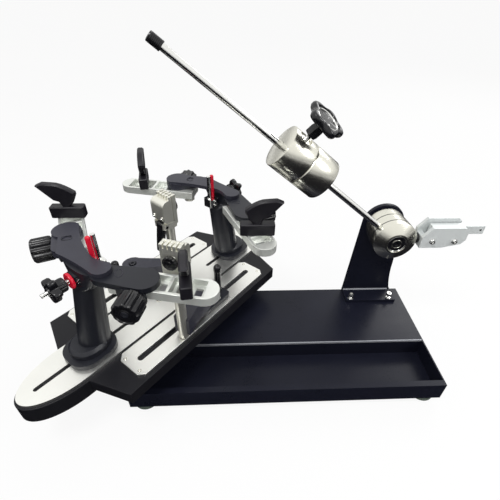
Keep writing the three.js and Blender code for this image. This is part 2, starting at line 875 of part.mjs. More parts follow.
function buildTower(table, prefix, out, hookAngles) {
  const station = group(table, `${prefix}_tower_slide`, out * tower.station, 0, 0, 0);
  piece(station, `${prefix}_tower`, towerCasting(out), satinBlack);
  piece(station, `${prefix}_link`, upperLink(out), slateBlack);
  buildArm(station, prefix, out, 1, hookAngles.leftAngle);
  buildArm(station, prefix, out, -1, hookAngles.rightAngle);
  const carriage = group(station, `${prefix}_support_slide`, 0, 0, 0, 0);
  piece(carriage, `${prefix}_support`, supportCarriage(out), chrome);
  const pinX = -out * (support.blockInset - support.redPinOff);
  piece(carriage, `${prefix}_support_pin`, supportPin(), red).position.set(pinX, 0, 0);
  const screw = group(station, `${prefix}_screw_axis`, 0, 0, support.screwHeight, out > 0 ? 0 : Math.PI);
  piece(screw, `${prefix}_adjuster`, adjusterKnob(), plasticBlack);
  piece(screw, `${prefix}_adjuster_ring`, adjusterRing(), red);
}

// String clamps. outward is 1 on the rear clamp and -1 on the front one, which is turned half round.

function clampBase() {
  const shape = roundedRectangle(clamp.baseLength, clamp.baseWidth, clamp.baseCorner);
  const body = plate(shape, seatGap, clamp.baseHeight).translate(clamp.baseShift, 0, 0);
  const keyWidth = sidePlate.slotWidth - 2 * seatGap;
  const keyHeight = tower.keyDepth + clamp.baseHeight / 2;
  const key = block(clamp.keyLength, keyWidth, keyHeight, 0, 0, keyHeight / 2 - tower.keyDepth);
  const pin = disc(clamp.pinRadius, clamp.baseHeight / 2, clamp.armTop - clamp.postFoot, roundSteps / 2);
  const screwHole = disc(clamp.lockStem + seatGap, 0, clamp.baseHeight + cutOver, roundSteps / 2);
  return cut(join(body, key, pin), screwHole.translate(clamp.lockOff, 0, 0));
}

// Domed handle that locks the base to the plate under it
function clampLock() {
  const { lockRadius, lockStem, lockTop, baseHeight } = clamp;
  const shape = new THREE.Shape();
  shape.moveTo(0, 2 * seatGap);
  shape.lineTo(lockStem, 2 * seatGap);
  shape.lineTo(lockStem, baseHeight + seatGap);
  shape.lineTo(lockRadius, baseHeight + seatGap);
  shape.lineTo(lockRadius, lockTop - lockRadius);
  shape.absarc(0, lockTop - lockRadius, lockRadius, 0, Math.PI / 2);
  const profile = shape.getPoints(arcSteps).map((p) => [Math.max(p.x, 0), p.y]);
  profile[profile.length - 1][0] = 0;
  return turned(profile, roundSteps / 2);
}

// Waisted arm; its tip is a half-round seat for the post
function clampArm() {
  const { armReach, armPivotRadius, armWaist, armTipHalf, armLip } = clamp;
  const bottom = clamp.baseHeight + seatGap;
  const neck = armReach - clamp.postRadius - armTipHalf;
  const shape = new THREE.Shape();
  shape.absarc(0, 0, armPivotRadius, Math.PI / 3, (5 / 3) * Math.PI);
  shape.quadraticCurveTo(armReach / 2, -armWaist, neck, -armWaist);
  shape.lineTo(armReach - clamp.postRadius, -armTipHalf);
  shape.lineTo(armReach + armLip, -armTipHalf);
  shape.lineTo(armReach + armLip, armTipHalf);
  shape.lineTo(armReach - clamp.postRadius, armTipHalf);
  shape.lineTo(neck, armWaist);
  shape.quadraticCurveTo(armReach / 2, armWaist, armPivotRadius / 2, (armPivotRadius * Math.sqrt(3)) / 2);
  circleHole(shape, 0, 0, clamp.pinRadius + 2 * seatGap);
  const body = plate(shape, bottom, clamp.armTop);
  const seat = disc(clamp.postRadius + seatGap, bottom - cutOver, clamp.armTop + cutOver);
  return cut(body, seat.translate(armReach, 0, 0));
}

// Fingers are left standing along a jaw's upper edge
function combCuts(from, to) {
  const pitch = (jaw.width + jaw.toothGap) / jaw.teeth;
  const cuts = [];
  for (let i = 1; i < jaw.teeth; i += 1) {
    const y = i * pitch - (jaw.width + jaw.toothGap) / 2;
    const length = to - from + 2 * cutOver;
    cuts.push(block(length, jaw.toothGap, 2 * jaw.toothHeight, (from + to) / 2, y, clamp.headFrom + jaw.height));
  }
  return cuts;
}

// Post with the seat of both jaws, the fixed jaw and a slot for the lever
function clampPost() {
  const foot = clamp.headFrom;
  const seatTop = foot + jaw.seatHeight;
  const post = disc(clamp.postRadius, clamp.postFoot, foot + jaw.seatHeight / 2);
  const seatLength = jaw.fixedThickness + jaw.movingThickness;
  const seatX = (jaw.fixedThickness - jaw.movingThickness) / 2;
  const seat = plate(roundedRectangle(seatLength, jaw.width, jaw.heel), foot, seatTop, 0, 2);
  const top = foot + jaw.height;
  const fixed = block(
    jaw.fixedThickness, jaw.width, jaw.height - jaw.heel, jaw.fixedThickness / 2, 0, top - (jaw.height - jaw.heel) / 2,
  );
  const dial = toX(plate(
    wavyCircle(jaw.dialRadius - 2 * jaw.dialRibDepth, jaw.dialRibDepth, jaw.teeth, arcSteps),
    jaw.fixedThickness - seatGap, jaw.fixedThickness + seatGap,
  )).translate(0, 0, foot + jaw.dialHeight);
  const slot = block(
    2 * (lever.eyeInset + lever.rootRadius + cutOver), lever.width + 2 * seatGap, 2 * jaw.seatHeight + cutOver,
    -jaw.movingThickness, 0, foot,
  );
  const eye = toY(disc(lever.pinRadius + seatGap, -jaw.width, jaw.width, roundSteps / 2));
  eye.translate(lever.eyeInset - jaw.movingThickness, 0, foot + lever.eyeRise);
  return cut(join(post, seat.translate(seatX, 0, 0), fixed, dial), slot, eye, ...combCuts(0, jaw.fixedThickness));
}

// Ribbed dial on the fixed jaw that sets the grip
function clampDial() {
  const shape = wavyCircle(jaw.dialRadius, jaw.dialRibDepth, jaw.dialRibs, 4);
  const from = jaw.fixedThickness + 2 * seatGap;
  return toX(plate(shape, from, from + jaw.dialThickness, jaw.dialRibDepth));
}

function movingJaw() {
  const low = clamp.headFrom + jaw.seatHeight + seatGap;
  const top = clamp.headFrom + jaw.height;
  const shoulderTop = top - jaw.toothHeight + cutOver;
  const outer = -jaw.movingThickness;
  const shape = new THREE.Shape();
  shape.moveTo(-jaw.opening, low);
  shape.lineTo(-jaw.opening, top);
  shape.lineTo(-jaw.combThickness, top);
  shape.lineTo(-jaw.combThickness, shoulderTop);
  shape.lineTo(outer + jaw.shoulder, shoulderTop);
  shape.absarc(outer + jaw.shoulder, shoulderTop - jaw.shoulder, jaw.shoulder, Math.PI / 2, Math.PI);
  shape.lineTo(outer, low + jaw.heel);
  shape.lineTo(outer + jaw.heel, low);
  shape.closePath();
  const body = plate(shape, -jaw.width / 2, jaw.width / 2).rotateX(Math.PI / 2);
  return cut(body, ...combCuts(-jaw.combThickness, 0));
}

// Curved handle that hangs from its eye; it swings about y
function clampLever() {
  const { length, rootRadius, tipRadius, bow, swingOut } = lever;
  const tipX = -swingOut;
  const tipY = tipRadius - length;
  const shape = new THREE.Shape();
  shape.moveTo(rootRadius, 0);
  shape.absarc(0, 0, rootRadius, 0, Math.PI);
  shape.quadraticCurveTo(-rootRadius - bow / 2, -length / 2, tipX - tipRadius, tipY);
  shape.absarc(tipX, tipY, tipRadius, Math.PI, 2 * Math.PI);
  shape.quadraticCurveTo(rootRadius - bow / 2, -length / 2, rootRadius, 0);
  const body = plate(shape, -lever.width / 2, lever.width / 2, tipRadius / 3);
  const pin = disc(lever.pinRadius, seatGap - jaw.width / 2, jaw.width / 2 - seatGap, roundSteps / 2);
  return join(body, pin).rotateX(Math.PI / 2);
}

function buildClamp(table, prefix, outward, pose) {
  const slide = group(table, `${prefix}_clamp_slide`, pose.along, outward * plateCentre, 0, pose.turn);
  piece(slide, `${prefix}_clamp_base`, clampBase(), satinBlack);
  const lock = group(slide, `${prefix}_clamp_lock_axis`, clamp.lockOff, 0, 0, 0);
  piece(lock, `${prefix}_clamp_lock`, clampLock(), plasticBlack);
  const swing = group(slide, `${prefix}_clamp_arm_axis`, 0, 0, 0, pose.swing);
  piece(swing, `${prefix}_clamp_arm`, clampArm(), slateBlack);
  const post = group(swing, `${prefix}_clamp_post_axis`, clamp.armReach, 0, 0, pose.head);
  piece(post, `${prefix}_clamp_post`, clampPost(), nickel);
  const dialAxis = group(post, `${prefix}_clamp_dial_axis`, 0, 0, clamp.headFrom + jaw.dialHeight, 0);
  piece(dialAxis, `${prefix}_clamp_dial`, clampDial(), plasticBlack);
  piece(post, `${prefix}_clamp_jaw`, movingJaw(), nickel);
  const eyeX = lever.eyeInset - jaw.movingThickness;
  const leverAxis = group(post, `${prefix}_clamp_lever_axis`, eyeX, 0, clamp.headFrom + lever.eyeRise, 0);
  piece(leverAxis, `${prefix}_clamp_lever`, clampLever(), plasticBlack);
}

// How the two clamps stand in the photo: a distance along the plate, and angles in degrees,
// of which the head's is measured from the rail's direction
const frontClampStand = { along: 13, turnAngle: 0, swingAngle: -164, headAngle: -159 };
const rearClampStand = { along: -20, turnAngle: 180, swingAngle: 133, headAngle: -3 };
const frontHookAngles = { leftAngle: -22, rightAngle: 20 };
const rearHookAngles = { leftAngle: 22, rightAngle: -23 };

const degrees = THREE.MathUtils.degToRad;
const clampPose = ({ along, turnAngle, swingAngle, headAngle }) => ({
  along, turn: degrees(turnAngle), swing: degrees(swingAngle), head: degrees(headAngle - turnAngle - swingAngle),
});

function buildTurntable(root) {
  const table = group(root, 'turntable', pivotX, 0, railTop, degrees(pivot.turnAngle));
  piece(table, 'turntable_frame', turntableFrame(), satinBlack);
  piece(table, 'center_rail', centreRail(), brushedSteel);
  piece(table, 'side_plate_front', slottedPlate(), brushedSteel).position.set(0, -plateCentre, 0);
  piece(table, 'side_plate_rear', slottedPlate(), brushedSteel).position.set(0, plateCentre, 0);
  buildTower(table, 'front', -1, frontHookAngles);
  buildTower(table, 'rear', 1, rearHookAngles);
  buildClamp(table, 'front', -1, clampPose(frontClampStand));
  buildClamp(table, 'rear', 1, clampPose(rearClampStand));
}

// Tensioner

function bracketBody() {
  const left = bracket.right - bracket.width;
  const waistHalf = bracket.waist / 2;
  const waistHeight = deckTop + drum.height * bracket.waistShare;
  const shape = new THREE.Shape();
  shape.moveTo(left, deckTop);
  shape.lineTo(bracket.right, deckTop);
  shape.quadraticCurveTo(drumX + waistHalf, (deckTop + waistHeight) / 2, drumX + waistHalf, waistHeight);
  shape.lineTo(drumX + bracket.topRadius, drumHeight);
  shape.absarc(drumX, drumHeight, bracket.topRadius, 0, Math.PI);
  shape.lineTo(drumX - bracket.topRadius, drumHeight);
  shape.closePath();
  circleHole(shape, drumX, drumHeight, bracket.boreRadius);
  const upright = plate(shape, 0, bracket.sheet, 0, roundSteps / 2);
  upright.rotateX(Math.PI / 2).translate(0, bracketBack, 0);
  const footZ = deckTop + bracket.sheet / 2;
  const footY = bracketBack - bracket.footDepth / 2;
  const sole = block(bracket.width, bracket.footDepth, bracket.sheet, bracketCentreX, footY, footZ);
  return join(upright, sole);
}

// Heights along the drum's axis are measured forward from its back face
function drumBody() {
  const d = drum;
  const rim = (at) => d.backRadius + ((d.radius - d.backRadius) * at) / d.length;
  const groove = (at) => [
    [rim(at), at], [rim(at) - d.grooveDepth, at],
    [rim(at) - d.grooveDepth, at + d.grooveWidth], [rim(at + d.grooveWidth), at + d.grooveWidth],
  ];
  const front = d.length + d.coneLength;
  const body = turned([
    [0, -d.bossLength - bracket.sheet - seatGap], [d.shaftRadius, -d.bossLength - bracket.sheet - seatGap],
    [d.shaftRadius, -d.bossLength], [d.bossRadius, -d.bossLength], [d.bossRadius, 0], [d.backRadius, 0],
    ...groove(d.groovePitch), ...groove(2 * d.groovePitch),
    [d.radius, d.length], [d.coneRadius, front], [d.faceRadius, front],
    [d.faceRadius, front - d.faceDepth], [d.faceRadius - d.bearingWidth, front - d.faceDepth],
    [d.faceRadius - d.bearingWidth, front - d.faceDepth / 2], [d.socketRadius, front - d.faceDepth / 2],
    [d.socketRadius, front - d.faceDepth - d.socketDepth], [0, front - d.faceDepth - d.socketDepth],
  ], 2 * roundSteps).rotateX(Math.PI / 2);
  const rodBore = disc(rod.radius + seatGap, drum.radius - rod.socket, drum.radius + cutOver, roundSteps / 2);
  rodBore.applyMatrix4(rodDirection()).translate(0, pullPlane - drumBack, 0);
  const padDepth = drum.radius - gripperSeat;
  const flat = block(
    2 * padDepth, gripper.depth, 2 * gripper.spacerRadius + gripper.plate,
    gripperSeat + padDepth, pullPlane - drumBack, 0,
  );
  return cut(body, rodBore, flat);
}

// Turns +Z to the rod's direction, up and to the left
const rodDirection = () => new THREE.Matrix4().makeRotationY(-Math.PI / 2 + degrees(rod.rise));

const gripperSeat = Math.sqrt(drum.radius ** 2 - gripper.spacerRadius ** 2); // flat on the drum, from its axis

function rodCap() {
  const bore = rod.radius + seatGap;
  const from = rod.length - rod.capDepth;
  const to = from + rod.capLength;
  const bevel = rod.capRadius / 6;
  return turned([
    [bore, from], [rod.capRadius, from], [rod.capRadius, to - bevel], [rod.capRadius - bevel, to],
    [0, to], [0, rod.length + seatGap], [bore, rod.length + seatGap], [bore, from],
  ], roundSteps / 2);
}

function weightHalf(from, to) {
  const { bevel, radius, boreRadius } = weight;
  return turned([
    [boreRadius, from], [radius - bevel, from], [radius, from + bevel], [radius, to - bevel],
    [radius - bevel, to], [boreRadius, to], [boreRadius, from],
  ], 2 * roundSteps);
}

// The weight's frame has the rod along z and the knob along x
function outerHalf() {
  const z = weight.knobStation;
  const spotTop = weight.radius + cutOver;
  const spotFrom = weight.radius - weight.spotDepth;
  const spot = toX(disc(weight.spotRadius, spotFrom, spotTop)).translate(0, 0, z);
  const thread = toX(disc(weight.screwRadius + seatGap, 0, spotTop, roundSteps / 2)).translate(0, 0, z);
  const half = weightHalf((weight.length + seatGap) / 2, weight.length);
  return cut(half, spot, thread);
}

const stemTaperShare = 0.8;

function weightKnob() {
  const stemFrom = weight.radius - weight.spotDepth + weight.screwShow;
  const knobFrom = stemFrom + weight.stemLength;
  const screw = disc(weight.screwRadius, weight.boreRadius + seatGap, stemFrom + cutOver, roundSteps / 2);
  const stem = turned([
    [0, stemFrom], [weight.stemRadius, stemFrom], [weight.stemRadius * stemTaperShare, knobFrom], [0, knobFrom],
  ], roundSteps / 2);
  const shape = wavyCircle(weight.knobRadius, weight.knobLobeDepth, weight.knobLobes, 6);
  const grip = plate(shape, knobFrom - cutOver, knobFrom + weight.knobThickness, weight.knobThickness / 4);
  return toX(join(screw, stem, grip));
}

// Side view of a gripper plate; x runs away from the drum and y is height from the drum's axis
function gripperOutline(length, lift) {
  const low = lift - gripper.below;
  const high = low + gripper.height;
  return new THREE.Shape([
    point(0, low), point(length - gripper.tailCut, low), point(length - gripper.plate, low + gripper.tailRise),
    point(length, low + 2 * gripper.tailRise), point(length, high - gripper.plate), point(length - gripper.plate, high),
    point(gripper.noseCut, high), point(0, high - gripper.noseRise),
  ]);
}

function gripperBody() {
  const front = plate(gripperOutline(gripper.length, 0), 0, gripper.plate);
  const back = plate(gripperOutline(gripper.rearLength, gripper.rearLift), 0, gripper.plate);
  front.rotateX(Math.PI / 2).translate(0, gripper.plate - gripper.depth / 2, 0);
  back.rotateX(Math.PI / 2).translate(0, gripper.depth / 2, 0);
  const bridgeHeight = gripper.height - gripper.noseRise;
  const bridge = block(
    gripper.bridge, gripper.depth, bridgeHeight, gripper.bridge / 2, 0, bridgeHeight / 2 - gripper.below,
  );
  const boltReach = gripper.depth / 2 - seatGap;
  const bolts = [gripper.boltInset, gripper.length - gripper.boltInset].map((x) =>
    toY(disc(gripper.boltRadius, -boltReach, boltReach, roundSteps / 2)).translate(x, 0, gripper.boltRise));
  return join(front, back, bridge, ...bolts);
}

function gripperJaw() {
  const low = gripper.boltRise + gripper.boltRadius + seatGap;
  const high = low + gripper.jawHeight;
  const from = gripper.bridge + gripper.jawTail;
  const shape = new THREE.Shape([
    point(from, low), point(gripper.length, low), point(gripper.length, high - gripper.jawEndHeight),
    point(gripper.jawLength, high - gripper.jawEndHeight), point(gripper.jawLength, high), point(from, high),
  ]);
  const half = gripper.jawThickness / 2;
  return plate(shape, -half, half, seatGap).rotateX(Math.PI / 2);
}

function buildTensioner(root) {
  piece(root, 'tension_bracket', bracketBody(), powderBlack);
  const axis = group(root, 'drum_axis', drumX, drumBack, drumHeight, 0);
  piece(axis, 'tension_drum', drumBody(), nickel);
  const pull = group(axis, 'pull_plane', 0, pullPlane - drumBack, 0, 0);
  const rodAxis = group(pull, 'rod_axis', 0, 0, 0, 0);
  rodAxis.applyMatrix4(rodDirection());
  piece(rodAxis, 'drum_rod', disc(rod.radius, drum.radius - rod.socket + seatGap, rod.length, roundSteps / 2), chrome);
  piece(rodAxis, 'rod_cap', rodCap(), rubber);
  const weightSlide = group(rodAxis, 'weight_slide', 0, 0, weight.inner, degrees(-weight.turn));
  piece(weightSlide, 'weight_inner', weightHalf(0, (weight.length - seatGap) / 2), nickel);
  piece(weightSlide, 'weight_outer', outerHalf(), nickel);
  const knobAxis = group(weightSlide, 'weight_knob_axis', 0, 0, weight.knobStation, 0);
  piece(knobAxis, 'weight_knob', weightKnob(), plasticBlack);
  const spacer = toX(disc(gripper.spacerRadius, gripperSeat + seatGap, gripperSeat + gripper.spacerLength));
  piece(pull, 'gripper_spacer', spacer, plasticBlack);
  const grip = group(pull, 'gripper_mount', gripperSeat + gripper.spacerLength + seatGap, 0, 0, 0);
  piece(grip, 'gripper_body', gripperBody(), paleAluminium);
  const jawSlide = group(grip, 'gripper_jaw_slide', 0, 0, 0, 0);
  piece(jawSlide, 'gripper_jaw', gripperJaw(), paleAluminium);
}

const machine = new THREE.Group();
machine.name = 'stringing_machine';
buildBase(machine);
buildTurntable(machine);
buildTensioner(machine);

// The origin is under the middle of the whole machine
machine.updateMatrixWorld(true);
const middle = new THREE.Box3().setFromObject(machine, true).getCenter(new THREE.Vector3());
machine.position.set(-middle.x, -middle.y, 0);

export default machine;
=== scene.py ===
# %% [markdown]
# # A racket stringing machine, dressed for the camera
# The solids of the machine come from CAD. Here they get their finishes, their broken edges and the
# small hardware that a CAD model leaves out. Lengths in the cells are in millimetres, as on the
# drawing, and become metres when a mesh is made.

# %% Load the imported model
import json
import math

import bmesh
import bpy
import numpy as np
from mathutils import Matrix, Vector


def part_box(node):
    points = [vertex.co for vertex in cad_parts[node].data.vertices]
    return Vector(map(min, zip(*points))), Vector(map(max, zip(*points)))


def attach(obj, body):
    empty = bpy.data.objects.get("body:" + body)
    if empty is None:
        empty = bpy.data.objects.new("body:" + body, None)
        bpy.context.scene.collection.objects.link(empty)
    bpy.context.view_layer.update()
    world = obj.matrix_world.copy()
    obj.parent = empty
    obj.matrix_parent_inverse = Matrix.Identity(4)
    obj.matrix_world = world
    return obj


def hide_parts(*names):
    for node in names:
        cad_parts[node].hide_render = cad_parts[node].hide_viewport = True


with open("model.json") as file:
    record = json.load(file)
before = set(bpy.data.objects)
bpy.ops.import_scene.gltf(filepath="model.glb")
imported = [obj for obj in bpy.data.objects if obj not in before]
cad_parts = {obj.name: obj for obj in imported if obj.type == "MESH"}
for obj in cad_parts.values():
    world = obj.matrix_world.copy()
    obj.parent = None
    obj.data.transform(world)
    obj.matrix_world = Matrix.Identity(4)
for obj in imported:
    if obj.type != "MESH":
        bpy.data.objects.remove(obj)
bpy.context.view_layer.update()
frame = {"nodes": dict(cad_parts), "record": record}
BEHAVIOUR = frame["record"]["behaviour"]
BODY_OF = {node: body for body, nodes in BEHAVIOUR["bodies"].items() for node in nodes}
JOINT = {joint["name"]: joint for joint in BEHAVIOUR["joints"]}
MM = 0.001

# %% [markdown]
# ## Where things stand
# A piece is drawn about its own upright axis and then carried to its place by a 4 x 4 matrix, as a
# hand lays a part on a jig. Turned pieces that move stand on their own joint's axis, which the record
# gives, so they can't sit beside it. The turntable is turned by 50 degrees, so everything that is
# fastened to it is placed along the rail and carried round with it.

# %% Matrices that carry a piece to its place
def axes_at(x_axis, y_axis, z_axis, spot):
    """Matrix whose first three columns are the three axes and whose last column is the place."""
    made = np.eye(4)
    made[:3, 0], made[:3, 1], made[:3, 2], made[:3, 3] = x_axis, y_axis, z_axis, spot
    return made


def place(parent, x=0.0, y=0.0, z=0.0, turn=0.0):
    """Parent frame moved by x, y and z, and then turned by turn degrees about its upright axis."""
    c, s = math.cos(math.radians(turn)), math.sin(math.radians(turn))
    return parent @ axes_at((c, s, 0), (-s, c, 0), (0, 0, 1), (x, y, z))


def joint_spot(name):
    """Place of a joint in millimetres."""
    return np.array(JOINT[name]["pos_m"]) / MM


def on_joint(name):
    """Frame at a hinge: its upright axis is the hinge's, and its x axis is level or points to +x."""
    axis = np.array(JOINT[name]["axis"], float)
    axis /= np.linalg.norm(axis)
    side = np.cross((0, 0, 1), axis) if abs(axis[2]) < 0.9 else np.array([1.0, 0.0, 0.0])
    side /= np.linalg.norm(side)
    return axes_at(side, np.cross(axis, side), axis, joint_spot(name))


def middle(node):
    """Middle of a CAD node's box in millimetres."""
    low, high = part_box(node)
    return (np.array(low) + np.array(high)) / 2 / MM


LIE_X = np.array([[0, 0, 1, 0], [0, 1, 0, 0], [-1, 0, 0, 0], [0, 0, 0, 1]], float)
LIE_FRONT = np.array([[1, 0, 0, 0], [0, 0, -1, 0], [0, 1, 0, 0], [0, 0, 0, 1]], float)
HEAD_DOWN = np.diag([1.0, -1.0, -1.0, 1.0])
LIE_BACK_X = LIE_X @ HEAD_DOWN
print("a drawn axis lies along", LIE_X[:3, 2], LIE_BACK_X[:3, 2], "or", LIE_FRONT[:3, 2])

# %% Frames of the machine's groups
RAIL_TURN = 50.0
DECK_TOP = 45.0
RAIL_TOP = 107.5
TOWER_REACH = 148.0
FLOOR = np.eye(4)
PIVOT = joint_spot("turntable_turn")
TABLE = place(FLOOR, PIVOT[0], PIVOT[1], RAIL_TOP, RAIL_TURN)
TOWERS = {"front": (-1, place(TABLE, -TOWER_REACH)), "rear": (1, place(TABLE, TOWER_REACH))}
print("turntable axis at", np.round(PIVOT[:2], 2))

# %% [markdown]
# ## Camera
# The photograph looks down at the machine from the front, a little turned, with a short lens. The
# lens and the place were solved from the corners of the base. The camera could be aimed with a
# constraint, but a matrix of its own axes also holds the small roll of the photograph.

# %% Camera
IMAGE = 500.0
FOCAL = 356.7
AZIMUTH, PITCH, ROLL = (math.radians(a) for a in (3.43, 37.09, 1.47))
EYE = np.array([-56.8, -433.6, 518.9]) * MM

reach = math.cos(PITCH)
ahead = np.array([math.sin(AZIMUTH) * reach, math.cos(AZIMUTH) * reach, -math.sin(PITCH)])
level = np.array([math.cos(AZIMUTH), -math.sin(AZIMUTH), 0.0])
upright = np.cross(level, ahead)
right = math.cos(ROLL) * level + math.sin(ROLL) * upright
up = -math.sin(ROLL) * level + math.cos(ROLL) * upright
lens = bpy.data.cameras.new("camera")
lens.sensor_width = 36.0
lens.lens = FOCAL / IMAGE * lens.sensor_width
lens.clip_end = 500.0
camera = bpy.data.objects.new("camera", lens)
bpy.context.scene.collection.objects.link(camera)
camera.matrix_world = Matrix(axes_at(right, up, -ahead, EYE).tolist())
bpy.context.scene.camera = camera
bpy.context.scene.view_settings.view_transform = "Standard"
print("lens", round(lens.lens, 2), "mm")

# %% [markdown]
# ## Sky
# Three skies in one. The camera sees plain white. Mirrors see white too, but with a dark band low
# down, as in a room whose far walls are unlit: that band is what gives nickel and chrome their depth.
# Matt surfaces get a soft, plain sky. A picture of a studio could do the same, but a ramp from low
# to high needs no file and its tones stay easy to change.

# %% Sky
SKY_BLUE = 0.985  # share of blue in a sky's grey, which warms it a little
world = bpy.data.worlds.new("studio")
bpy.context.scene.world = world
world.use_nodes = True
sky = world.node_tree
sky.nodes.clear()


def fill(node, inputs):
    """Puts each value of inputs on the socket of that name or number."""
    for socket, value in inputs.items():
        node.inputs[socket].default_value = value


def node_of(tree, kind, inputs=None, **settings):
    """A node of that kind, with its sockets' values and then its own settings given by name."""
    made = tree.nodes.new(kind)
    for key, value in settings.items():
        setattr(made, key, value)
    fill(made, inputs or {})
    return made


def sky_band(low, low_tone, high, high_tone, strength):
    """Background whose tone runs from low_tone to high_tone; 0 is straight down and 1 straight up."""
    ramp = node_of(sky, "ShaderNodeValToRGB")
    stops = zip(ramp.color_ramp.elements, (low, high), (low_tone, high_tone))
    for element, position, tone in stops:
        element.position = position
        element.color = (tone, tone, tone * SKY_BLUE, 1)
    sky.links.new(half.outputs[0], ramp.inputs[0])
    shown = node_of(sky, "ShaderNodeBackground", {"Strength": strength})
    sky.links.new(ramp.outputs[0], shown.inputs["Color"])
    return shown


direction = node_of(sky, "ShaderNodeTexCoord")
height = node_of(sky, "ShaderNodeSeparateXYZ")
half = node_of(sky, "ShaderNodeMath", {1: 0.5, 2: 0.5}, operation="MULTIPLY_ADD")
sky.links.new(direction.outputs["Generated"], height.inputs[0])
sky.links.new(height.outputs["Z"], half.inputs[0])
soft = sky_band(low=0.30, low_tone=0.12, high=0.72, high_tone=0.86, strength=0.66)
mirrored = sky_band(low=0.50, low_tone=0.10, high=0.60, high_tone=1.0, strength=1.0)
white = node_of(sky, "ShaderNodeBackground", {"Color": (1, 1, 1, 1)})
print("sky nodes", len(sky.nodes))

# %% Which ray sees which sky
rays = node_of(sky, "ShaderNodeLightPath")
to_mirror = node_of(sky, "ShaderNodeMixShader")
to_camera = node_of(sky, "ShaderNodeMixShader")
direct = node_of(sky, "ShaderNodeMath", operation="MAXIMUM")
sky_out = node_of(sky, "ShaderNodeOutputWorld")
sky.links.new(rays.outputs["Is Glossy Ray"], to_mirror.inputs[0])
sky.links.new(soft.outputs[0], to_mirror.inputs[1])
sky.links.new(mirrored.outputs[0], to_mirror.inputs[2])
sky.links.new(rays.outputs["Is Camera Ray"], direct.inputs[0])
sky.links.new(rays.outputs["Is Transmission Ray"], direct.inputs[1])
sky.links.new(direct.outputs[0], to_camera.inputs[0])
sky.links.new(to_mirror.outputs[0], to_camera.inputs[1])
sky.links.new(white.outputs[0], to_camera.inputs[2])
sky.links.new(to_camera.outputs[0], sky_out.inputs[0])
print("sky links", len(sky.links))

# %% [markdown]
# ## Lamps
# Three square lamps of middle size add the bright lines along knobs and edges: a key from the upper
# left, a weaker fill from the right and one from behind. A sun would do for the shadows, but a lamp
# with a surface also shows in the polished pieces.

# %% Lamps
def lamp(name, spot, aim, size, power):
    """A square lamp at a spot, turned to its aim, with its size and both places in metres."""
    light = bpy.data.lights.new(name, "AREA")
    light.shape, light.size, light.energy = "SQUARE", size, power
    lamp_object = bpy.data.objects.new(name, light)
    bpy.context.scene.collection.objects.link(lamp_object)
    back = np.array(spot, float) - np.array(aim, float)
    back /= np.linalg.norm(back)
    side = np.cross((0.0, 0.0, 1.0), back)
    side /= np.linalg.norm(side)
    lamp_object.matrix_world = Matrix(axes_at(side, np.cross(back, side), back, spot).tolist())
    return lamp_object


lamp("lamp_key", spot=(-0.5, -0.65, 1.9), aim=(-0.1, 0, 0.15), size=0.6, power=16)
lamp("lamp_fill", spot=(1.3, -0.6, 1.1), aim=(0, 0, 0.15), size=0.6, power=7)
lamp("lamp_back", spot=(1.5, 1.4, 1.5), aim=(0, 0, 0.1), size=1.0, power=12)
print("lamps", len(bpy.data.lights))

# %% [markdown]
# ## Floor and reflection card
# The floor is its own white for the camera and for mirrors, and keeps a part of the shadows. A dark
# card lies on it round the machine. Only mirrors see the card: without something dark under it a
# polished cylinder looks like paper, and its lower edge is lost against a white background.

# %% Floor's finish and the card's
FLOOR_WHITE = 0.9  # share of the floor's look that is its own white


def new_material(name, inputs):
    """Material whose Principled shader has those inputs, with its node tree and the shader."""
    made = bpy.data.materials.new(name)
    made.use_nodes = True
    shader = made.node_tree.nodes["Principled BSDF"]
    fill(shader, inputs)
    return made, made.node_tree, shader


def floor_finish():
    """Pale floor: its own white by FLOOR_WHITE to camera, mirrors and glass, and matt to the rest."""
    paint = {"Base Color": (0.9, 0.9, 0.9, 1), "Roughness": 0.9, "Specular IOR Level": 0.1}
    made, tree, matt = new_material("pale_floor", paint)
    glow = node_of(tree, "ShaderNodeEmission", {"Color": (1, 1, 1, 1), "Strength": 1.0})
    seen = node_of(tree, "ShaderNodeLightPath")
    either = node_of(tree, "ShaderNodeMath", operation="MAXIMUM")
    any_ray = node_of(tree, "ShaderNodeMath", operation="MAXIMUM")
    share = node_of(tree, "ShaderNodeMath", {1: FLOOR_WHITE}, operation="MULTIPLY")
    blend = node_of(tree, "ShaderNodeMixShader")
    tree.links.new(seen.outputs["Is Camera Ray"], either.inputs[0])
    tree.links.new(seen.outputs["Is Transmission Ray"], either.inputs[1])
    tree.links.new(either.outputs[0], any_ray.inputs[0])
    tree.links.new(seen.outputs["Is Glossy Ray"], any_ray.inputs[1])
    tree.links.new(any_ray.outputs[0], share.inputs[0])
    tree.links.new(share.outputs[0], blend.inputs[0])
    tree.links.new(matt.outputs[0], blend.inputs[1])
    tree.links.new(glow.outputs[0], blend.inputs[2])
    tree.links.new(blend.outputs[0], tree.nodes["Material Output"].inputs[0])
    return made


def card_finish():
    """Plain matt black, for the card that only mirrors see."""
    paint = {"Base Color": (0.01, 0.01, 0.012, 1), "Roughness": 1.0, "Specular IOR Level": 0.0}
    return new_material("dark_card", paint)[0]


print("floor keeps", round(1 - FLOOR_WHITE, 2), "of its shadows")

# %% Floor and card
GROUND = 60.0  # half the floor's width in metres
CARD_LIFT = 0.0005


def sheet(name, low, high, z, material):
    """Level rectangle between two corners, in metres, marked as part of the studio."""
    mesh = bpy.data.meshes.new(name)
    corners = [(low[0], low[1], z), (high[0], low[1], z), (high[0], high[1], z), (low[0], high[1], z)]
    mesh.from_pydata(corners, [], [(0, 1, 2, 3)])
    mesh.materials.append(material)
    laid = bpy.data.objects.new(name, mesh)
    bpy.context.scene.collection.objects.link(laid)
    return laid


